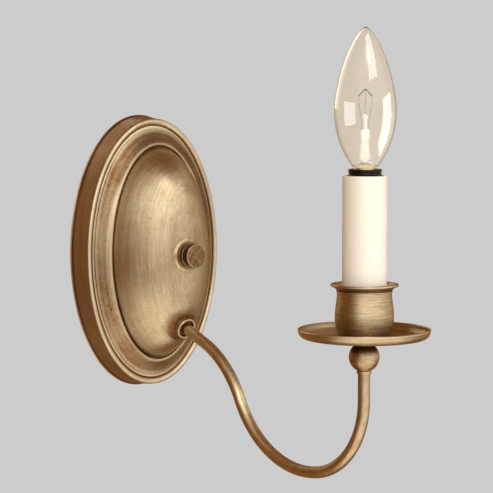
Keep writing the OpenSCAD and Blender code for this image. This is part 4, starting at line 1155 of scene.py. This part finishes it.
# Leads, ground wire and connectors
leads = {
    "radius": 0.9, "apart": 1.05, "tailRun": 3.0, "tailBend": 8.0, "tailTurn": 55.0, "tailEnd": 10.0,
    "fanRadius": 10.0, "fanTurn": 25.0, "connectorRadius": 4.6, "connectorLength": 17.0,
    "connectorBite": 6.0, "connectorBore": 0.95, "flutes": 12, "fluteDepth": 0.075,
}


def leadTail(side):
    start = armSeat - armOut * arm["behind"] + np.array([side * leads["apart"], 0, 0])
    axis = np.cross(-armOut, (side, 0.0, 0.0))
    moves = [("run", leads["tailRun"]), ("bend", leads["tailBend"], leads["tailTurn"], axis),
             ("run", leads["tailEnd"])]
    return walk(start, -armOut, moves)


def buildLead(side, node, name, material):
    # From the connector into the arm, along it, and fanned out to the socket's terminal
    nippleTop = boxMm("riser_nipple")[1][2]
    bracketTop = boxMm("socket_bracket")[1][2]
    fanTurn = math.radians(leads["fanTurn"])
    fanShift = 2 * leads["fanRadius"] * (1 - math.cos(fanTurn))
    fanRun = (socket["terminal"] - leads["apart"] - fanShift) / math.sin(fanTurn)
    tail, _ = leadTail(side)
    middle = armPath(arm["behind"], nippleTop + 4, side * leads["apart"])
    axis = np.cross((0.0, 0.0, 1.0), (side, 0.0, 0.0))
    fan, _ = walk(middle[-1], (0, 0, 1), [
        ("bend", leads["fanRadius"], leads["fanTurn"], axis), ("run", fanRun),
        ("bend", leads["fanRadius"], -leads["fanTurn"], axis)])
    top, _ = walk(fan[-1], (0, 0, 1), [("run", bracketTop - fan[-1][2] - 0.1)])
    path = np.concatenate([tail[:0:-1], middle, fan[1:], top[1:]])
    rings = closeEnds(sweepRings(path, leads["radius"], 20))
    addPiece(gridMesh(name, [(rings, False)]), grainMaterials[material], "root", [node])


def buildConnectors():
    length, wide, bite = leads["connectorLength"], leads["connectorRadius"], leads["connectorBite"]
    bore = leads["connectorBore"]
    profile = roundCorners([
        (bore, bite), (bore, 0.0, 0.2), (wide, 0.0, 0.3), (wide, 1.4, 0.4), (wide - 0.5, 2.0, 0.3),
        (wide - 1.6, length - 0.8, 0.6), (wide - 2.4, length, 0.3), (1e-5, length)], closed=False)
    profile = np.array(splitLong(profile, 0.6))
    sides = 96
    turns = np.arange(sides) * 2 * np.pi / sides
    flute = 0.5 + 0.5 * np.cos(leads["flutes"] * turns)
    reach = np.clip((profile[:, 1] - 2.4) / 0.8, 0, 1)
    reach = reach * np.clip((length - 1.6 - profile[:, 1]) / 0.8, 0, 1) * (profile[:, 0] > 2)
    rings = latheRings(profile, sides)
    rings[..., :2] *= (1 - leads["fluteDepth"] * reach[:, None] * flute[None, :])[..., None]
    connectors = []
    for side in (-1, 1):
        tail, heading = leadTail(side)
        first = np.cross(heading, (0.0, 0.0, 1.0))
        first /= np.linalg.norm(first)
        turn = np.stack([first, np.cross(heading, first), heading], 1)
        connectors.append((rings @ turn.T + tail[-1] - heading * bite, False))
    addPiece(gridMesh("wireConnectors", connectors), grainMaterials["orangeConnector"], "root",
             ["wire_connectors"], sizeMm=0.6)


def buildGroundWire():
    # Bare copper wire from the arm's inner washer to the ground screw, along one smooth curve
    radius, drop = fixing["leadRadius"], fixing["groundDrop"]
    upward = np.array([0.0, -math.sin(armDip), math.cos(armDip)])
    start = armSeat - armOut * (arm["washerBehind"] + radius) + upward * 5.6
    controls = [start, start + np.array([0.0, 9.0, 9.0]), np.array([0.0, -18.0, 16 - drop]),
                np.array([0.0, -6.0, 11 - drop]),
                np.array([0.0, -2.0 - radius, fixing["groundHead"] + 1.6 - drop])]
    t = np.linspace(0, 1, 60)[:, None]
    curve = sum(math.comb(4, k) * t ** k * (1 - t) ** (4 - k) * point for k, point in enumerate(controls))
    rings = closeEnds(sweepRings(curve, radius * 0.97, 16))
    addPiece(gridMesh("copperGroundWire", [(rings, False)]), grainMaterials["copperWire"], "root",
             ["ground_lead"])


buildLead(1, "live_lead", "liveLead", "blackJacket")
buildLead(-1, "neutral_lead", "neutralLead", "whiteJacket")
buildConnectors()
buildGroundWire()
print("leads")

# Bulb
bulb = {
    "glassThick": 0.7, "neckShare": 0.4, "widest": 0.416, "threadDepth": 0.42, "baseRadius": 5.91,
    "baseThick": 1.1, "contactRadius": 2.4, "rodRadius": 0.8, "beadRadius": 1.4, "wireRadius": 0.24,
    "hookRadius": 0.22, "coilRadius": 0.33, "coilWire": 0.08, "coilTurns": 17,
}


def buildGlass():
    low, high = boxMm("bulb_glass")
    radius = (high[0] - low[0]) / 2
    foot, tip = low[2] + 0.1, high[2]
    middle = foot + (tip - foot) * bulb["widest"]

    def outline(skin):
        lower = [(radius * (1 - (1 - bulb["neckShare"]) * share ** 2.3) - skin,
                  middle + (foot - middle) * share) for share in np.linspace(1, 0, 40)[:-1]]
        upper = [(max(radius * (1 - share ** 1.55) ** 0.66 - skin, 0.02),
                  middle + (tip - skin - middle) * share)
                 for share in 1 - (1 - np.linspace(0, 1, 64)[:-1]) ** 1.6]
        return lower + upper + [(1e-5, tip - skin)]

    rings = latheRings(outline(0.0) + outline(bulb["glassThick"])[::-1], 160)
    addPiece(gridMesh("bulbGlass", [(onCandle(rings), True)]), bulbGlass, "bulb", ["bulb_glass"],
             sharpDegrees=70)


def buildBulbBase():
    low, high = boxMm("bulb_base_shell")
    base, top = low[2], high[2]
    outer = bulb["baseRadius"]
    inner = outer - bulb["baseThick"]
    thread = threadRings(outer, bulb["threadDepth"], socket["threadPitch"], base + 1.0, top - 0.4,
                         sides=96, perPitch=16)
    rim = latheRings([(outer - 0.5, top - 0.1), (outer - 0.75, top), (inner, top - 0.1), (inner, base + 0.4),
                      (outer - 0.9, base), (outer - 0.6, base + 0.3)], 96)
    addPiece(gridMesh("bulbScrewShell", [(onCandle(np.concatenate([thread, rim])), True)]), brightBrass,
             "bulb", ["bulb_base_shell"], sizeMm=0.4, sharpDegrees=55)

    low, high = boxMm("bulb_base_insulator")
    profile = roundCorners([(1e-5, low[2]), (2.6, low[2], 0.2), (inner - 0.02, base + 0.1, 0.5),
                            (inner - 0.02, high[2], 0.1), (1e-5, high[2])], closed=False)
    addPiece(gridMesh("bulbInsulator", [(onCandle(latheRings(profile, 96)), False)]),
             grainMaterials["blackGlass"], "bulb", ["bulb_base_insulator"])

    low, high = boxMm("bulb_tip_contact")
    contact, seam = bulb["contactRadius"], high[2] - 0.04
    profile = [(1e-5, low[2])] + [(contact * math.sin(turn), high[2] - 0.25 - 0.75 * math.cos(turn))
                                  for turn in np.radians(np.linspace(12, 90, 12))]
    profile += [(contact, seam), (1e-5, seam)]
    addPiece(gridMesh("bulbTipContact", [(onCandle(latheRings(profile, 48)), False)]),
             grainMaterials["tinSolder"], "bulb_rise", ["bulb_tip_contact"], sizeMm=0.4)


def buildBulbStem():
    glassLow, glassHigh = boxMm("bulb_glass")
    foot = glassLow[2] + 0.1
    neck = (glassHigh[0] - glassLow[0]) / 2 * bulb["neckShare"] - bulb["glassThick"] - 0.65
    low, high = boxMm("bulb_stem")
    # Flare and pinched seal as (height, half width, half depth)
    levels = [(low[2], 1e-5, 1e-5), (low[2], neck * 0.9, neck * 0.9), (low[2] + 0.2, neck, neck)]
    levels += [(foot + above, wide, deep) for above, wide, deep in (
        (0.0, neck, neck), (1.0, 4.6, 4.6), (2.6, 3.6, 3.6), (4.6, 2.9, 2.9), (7.0, 2.4, 2.4),
        (10.0, 2.1, 2.1), (12.4, 1.95, 1.95), (13.6, 2.0, 1.7), (14.8, 2.5, 1.3), (15.8, 2.95, 1.2),
        (18.4, 2.95, 1.2), (19.0, 2.75, 1.1), (19.3, 2.1, 0.85), (19.3, 1e-5, 1e-5))]
    turns = np.arange(64) * 2 * np.pi / 64
    flare = np.array([[(wide * math.cos(turn), deep * math.sin(turn), height) for turn in turns]
                      for height, wide, deep in levels])
    beadZ = high[2] - bulb["beadRadius"]
    rod = [(1e-5, foot + 18.9), (bulb["rodRadius"], foot + 18.9), (bulb["rodRadius"], beadZ - 1.5),
           (0.95, beadZ - 1.1)]
    rod += arc((0, beadZ), bulb["beadRadius"], -40, 90, 14)[:-1] + [(1e-5, beadZ + bulb["beadRadius"])]
    addPiece(gridMesh("bulbStem", [(onCandle(flare), False), (onCandle(latheRings(rod, 48)), False)]),
             stemGlass, "bulb", ["bulb_stem"], sharpDegrees=60)


def bulbWire(points, radius, longest):
    return onCandle(closeEnds(sweepRings(splitLong(points, longest), radius, 12))), False


def buildFilament():
    foot = boxMm("bulb_glass")[0][2] + 0.1
    beadZ = boxMm("bulb_stem")[1][2] - bulb["beadRadius"]
    topZ = boxMm("bulb_support_wires")[1][2]
    low, high = boxMm("bulb_filament")
    endX, endZ = high[0] - 0.45, low[2] + 0.4
    controls = [(2.2, foot + 18.6), (2.4, foot + 23.0), (3.6, foot + 28.0), (endX - 0.25, endZ - 3.0),
                (endX, endZ - 0.2), (endX + 0.15, endZ + 0.35)]
    wires = [bulbWire([(side * x, 0.0, z) for x, z in controls], bulb["wireRadius"], 0.6)
             for side in (-1, 1)]
    hook = [(0.0, 0.0, beadZ + 1.0), (0.0, 0.0, topZ - 1.6)]
    hook += [(0.0, 0.55 - 0.55 * math.cos(turn), topZ - 1.0 + 0.7 * math.sin(turn))
             for turn in np.radians(np.linspace(-20, 150, 12))]
    wires.append(bulbWire(hook, bulb["hookRadius"], 0.5))
    addPiece(gridMesh("bulbSupportWires", wires), grainMaterials["nickelWire"], "bulb",
             ["bulb_support_wires"])

    coils = []
    t = np.linspace(0, 1, 420)[:, None]
    turn = t * 2 * np.pi * bulb["coilTurns"]
    for side in (-1, 1):
        start = np.array([side * endX, 0.0, endZ])
        run = np.array([side * 0.2, 0.0, high[2] - 0.5]) - start
        across = np.cross(run / np.linalg.norm(run), (0.0, 1.0, 0.0))
        spiral = np.cos(turn) * across + np.sin(turn) * np.array([0.0, 1.0, 0.0])
        path = start + run * t + bulb["coilRadius"] * spiral
        coils.append((onCandle(closeEnds(sweepRings(path, bulb["coilWire"], 6))), False))
    addPiece(gridMesh("bulbFilament", coils), grainMaterials["tungstenWire"], "bulb",
             ["bulb_filament"])


buildGlass()
buildBulbBase()
buildBulbStem()
buildFilament()
print("bulb")

# Studio
studio = {
    "backdrop": 0.604, "floorDrop": 0.45, "floorHalf": 3.0, "lampCentre": (0.0, -0.11, 0.0),
    "roomTone": (0.245, 0.102, 0.028), "seenThrough": (0.67, 0.60, 0.50),
    "wallFade": (0.35, -0.05),  # tones fade out behind the wall plane
    "tones": [
        # (azimuth, faded out at, full within, lowest, full from, full to, highest slope), color
        ((-115, 75, 30, 0.08, 0.36, 0.8, 1.0), (0.56, 0.42, 0.25)),
        ((72, 60, 25, -0.45, -0.05, 0.45, 0.8), (0.78, 0.64, 0.46)),
        ((-6, 78, 36, -2.0, -1.5, 0.6, 0.85), (0.94, 0.86, 0.745)),
        ((-18, 72, 34, 0.0, 0.26, 0.5, 0.8), (1.85, 1.75, 1.58)),
        ((-45, 118, 70, -1.2, -0.95, -0.62, -0.3), (1.35, 1.18, 0.95)),
    ],
    "lamps": {
        # azimuth, elevation, distance, width, height, radiance, color, seen by, lights only
        "topSoftbox": (-26, 48, 1.0, 0.4, 0.25, 2.4, (1.0, 0.97, 0.92), "all", None),
        "backFill": (178, 22, 1.1, 0.9, 0.7, 0.9, (1.0, 0.84, 0.66), "all", None),
        "softFill": (-14, 6, 1.2, 1.2, 1.2, 0.72, (1.0, 0.99, 0.97), "diffuse", None),
        "leftGlow": (-82, 0, 1.2, 0.8, 1.0, 0.42, (1.0, 0.80, 0.52), "diffuse", None),
        "windowRight": (43, -10, 1.05, 0.8, 1.0, 9.0, (1.0, 0.99, 0.96), "glossy", "glass"),
        "windowTop": (-6, 50, 1.0, 0.6, 0.75, 7.0, (1.0, 0.99, 0.96), "glossy", "glass"),
        "windowLeft": (-100, 2, 1.0, 0.9, 0.45, 6.5, (1.0, 0.99, 0.96), "glossy", "glass"),
    },
}


def buildFloor():
    grey = studio["backdrop"]
    paper = bpy.data.materials.new("paleFloorPaper")
    paper.use_nodes = True
    tree = paper.node_tree
    tree.nodes.remove(tree.nodes["Principled BSDF"])
    glow = put(tree, "ShaderNodeEmission", {"Color": (grey, grey, grey, 1.0)})
    feed(tree, tree.nodes["Material Output"].inputs["Surface"], glow.outputs[0])
    mesh = bpy.data.meshes.new("paleFloor")
    half, level = studio["floorHalf"], -studio["floorDrop"]
    mesh.from_pydata([(x, y, level) for x, y in rectangle(-half, half, -half, half)], [], [(0, 1, 2, 3)])
    mesh.materials.append(paper)
    floor = bpy.data.objects.new("paleFloor", mesh)
    bpy.context.scene.collection.objects.link(floor)
    for ray in ("diffuse", "glossy", "transmission", "shadow"):
        setattr(floor, "visible_" + ray, False)  # the room's own tones stand for its light


def buildRoom():
    # Broad soft tones round the object: plain backdrop for the camera, one tone through the glass
    grey = studio["backdrop"]
    world = bpy.data.worlds.new("studioRoom")
    world.use_nodes = True
    bpy.context.scene.world = world
    tree = world.node_tree
    where = put(tree, "ShaderNodeTexCoord").outputs["Generated"]
    parts = put(tree, "ShaderNodeSeparateXYZ", {0: where}).outputs
    flat = put(tree, "ShaderNodeCombineXYZ", {0: parts[0], 1: parts[1], 2: 0.0}).outputs[0]
    flat = put(tree, "ShaderNodeVectorMath", {0: flat}, operation="NORMALIZE").outputs[0]

    def towards(azimuth, wide, full):
        a = math.radians(azimuth)
        facing = (math.sin(a), -math.cos(a), 0.0)
        toward = put(tree, "ShaderNodeVectorMath", {0: flat, 1: facing}, operation="DOT_PRODUCT")
        feeds = {"Value": toward.outputs["Value"], "From Min": math.cos(math.radians(wide)),
                 "From Max": math.cos(math.radians(full))}
        return put(tree, "ShaderNodeMapRange", feeds, interpolation_type="SMOOTHSTEP").outputs[0]

    tone = (*studio["roomTone"], 1.0)
    for (azimuth, wide, full, lowest, fullFrom, fullTo, highest), color in studio["tones"]:
        rising = span(tree, parts[2], lowest, fullFrom)
        falling = span(tree, parts[2], highest, fullTo)
        level = calc(tree, "MULTIPLY", rising, falling)
        amount = calc(tree, "MULTIPLY", towards(azimuth, wide, full), level)
        amount = calc(tree, "MULTIPLY", amount, span(tree, parts[1], *studio["wallFade"]))
        tone = blendColors(tree, amount, tone, (*color, 1.0))
    rays = put(tree, "ShaderNodeLightPath").outputs
    tone = blendColors(tree, rays["Is Transmission Ray"], tone, (*studio["seenThrough"], 1.0))
    tone = blendColors(tree, rays["Is Camera Ray"], tone, (grey, grey, grey, 1.0))
    feed(tree, tree.nodes["Background"].inputs["Color"], tone)


def buildLamps():
    glass = bpy.data.collections.new("glassPieces")
    for name in ("bulbGlass", "bulbStem"):
        glass.objects.link(bpy.data.objects[name])
    for name, lampLook in studio["lamps"].items():
        azimuth, elevation, distance, width, height, radiance, color, seenBy, only = lampLook
        lamp = bpy.data.lights.new(name, "AREA")
        lamp.shape = "RECTANGLE"
        lamp.size, lamp.size_y = width, height
        lamp.energy = radiance * math.pi * width * height
        lamp.color = color
        a, e = math.radians(azimuth), math.radians(elevation)
        outward = Vector((math.sin(a) * math.cos(e), -math.cos(a) * math.cos(e), math.sin(e)))
        holder = bpy.data.objects.new(name, lamp)
        holder.location = outward * distance + Vector(studio["lampCentre"])
        holder.rotation_euler = outward.to_track_quat("Z", "Y").to_euler()
        holder.visible_camera = False
        holder.visible_glossy = seenBy != "diffuse"
        holder.visible_transmission = seenBy == "all"
        if only:
            holder.light_linking.receiver_collection = glass
        bpy.context.scene.collection.objects.link(holder)


buildFloor()
buildRoom()
buildLamps()
print("studio")
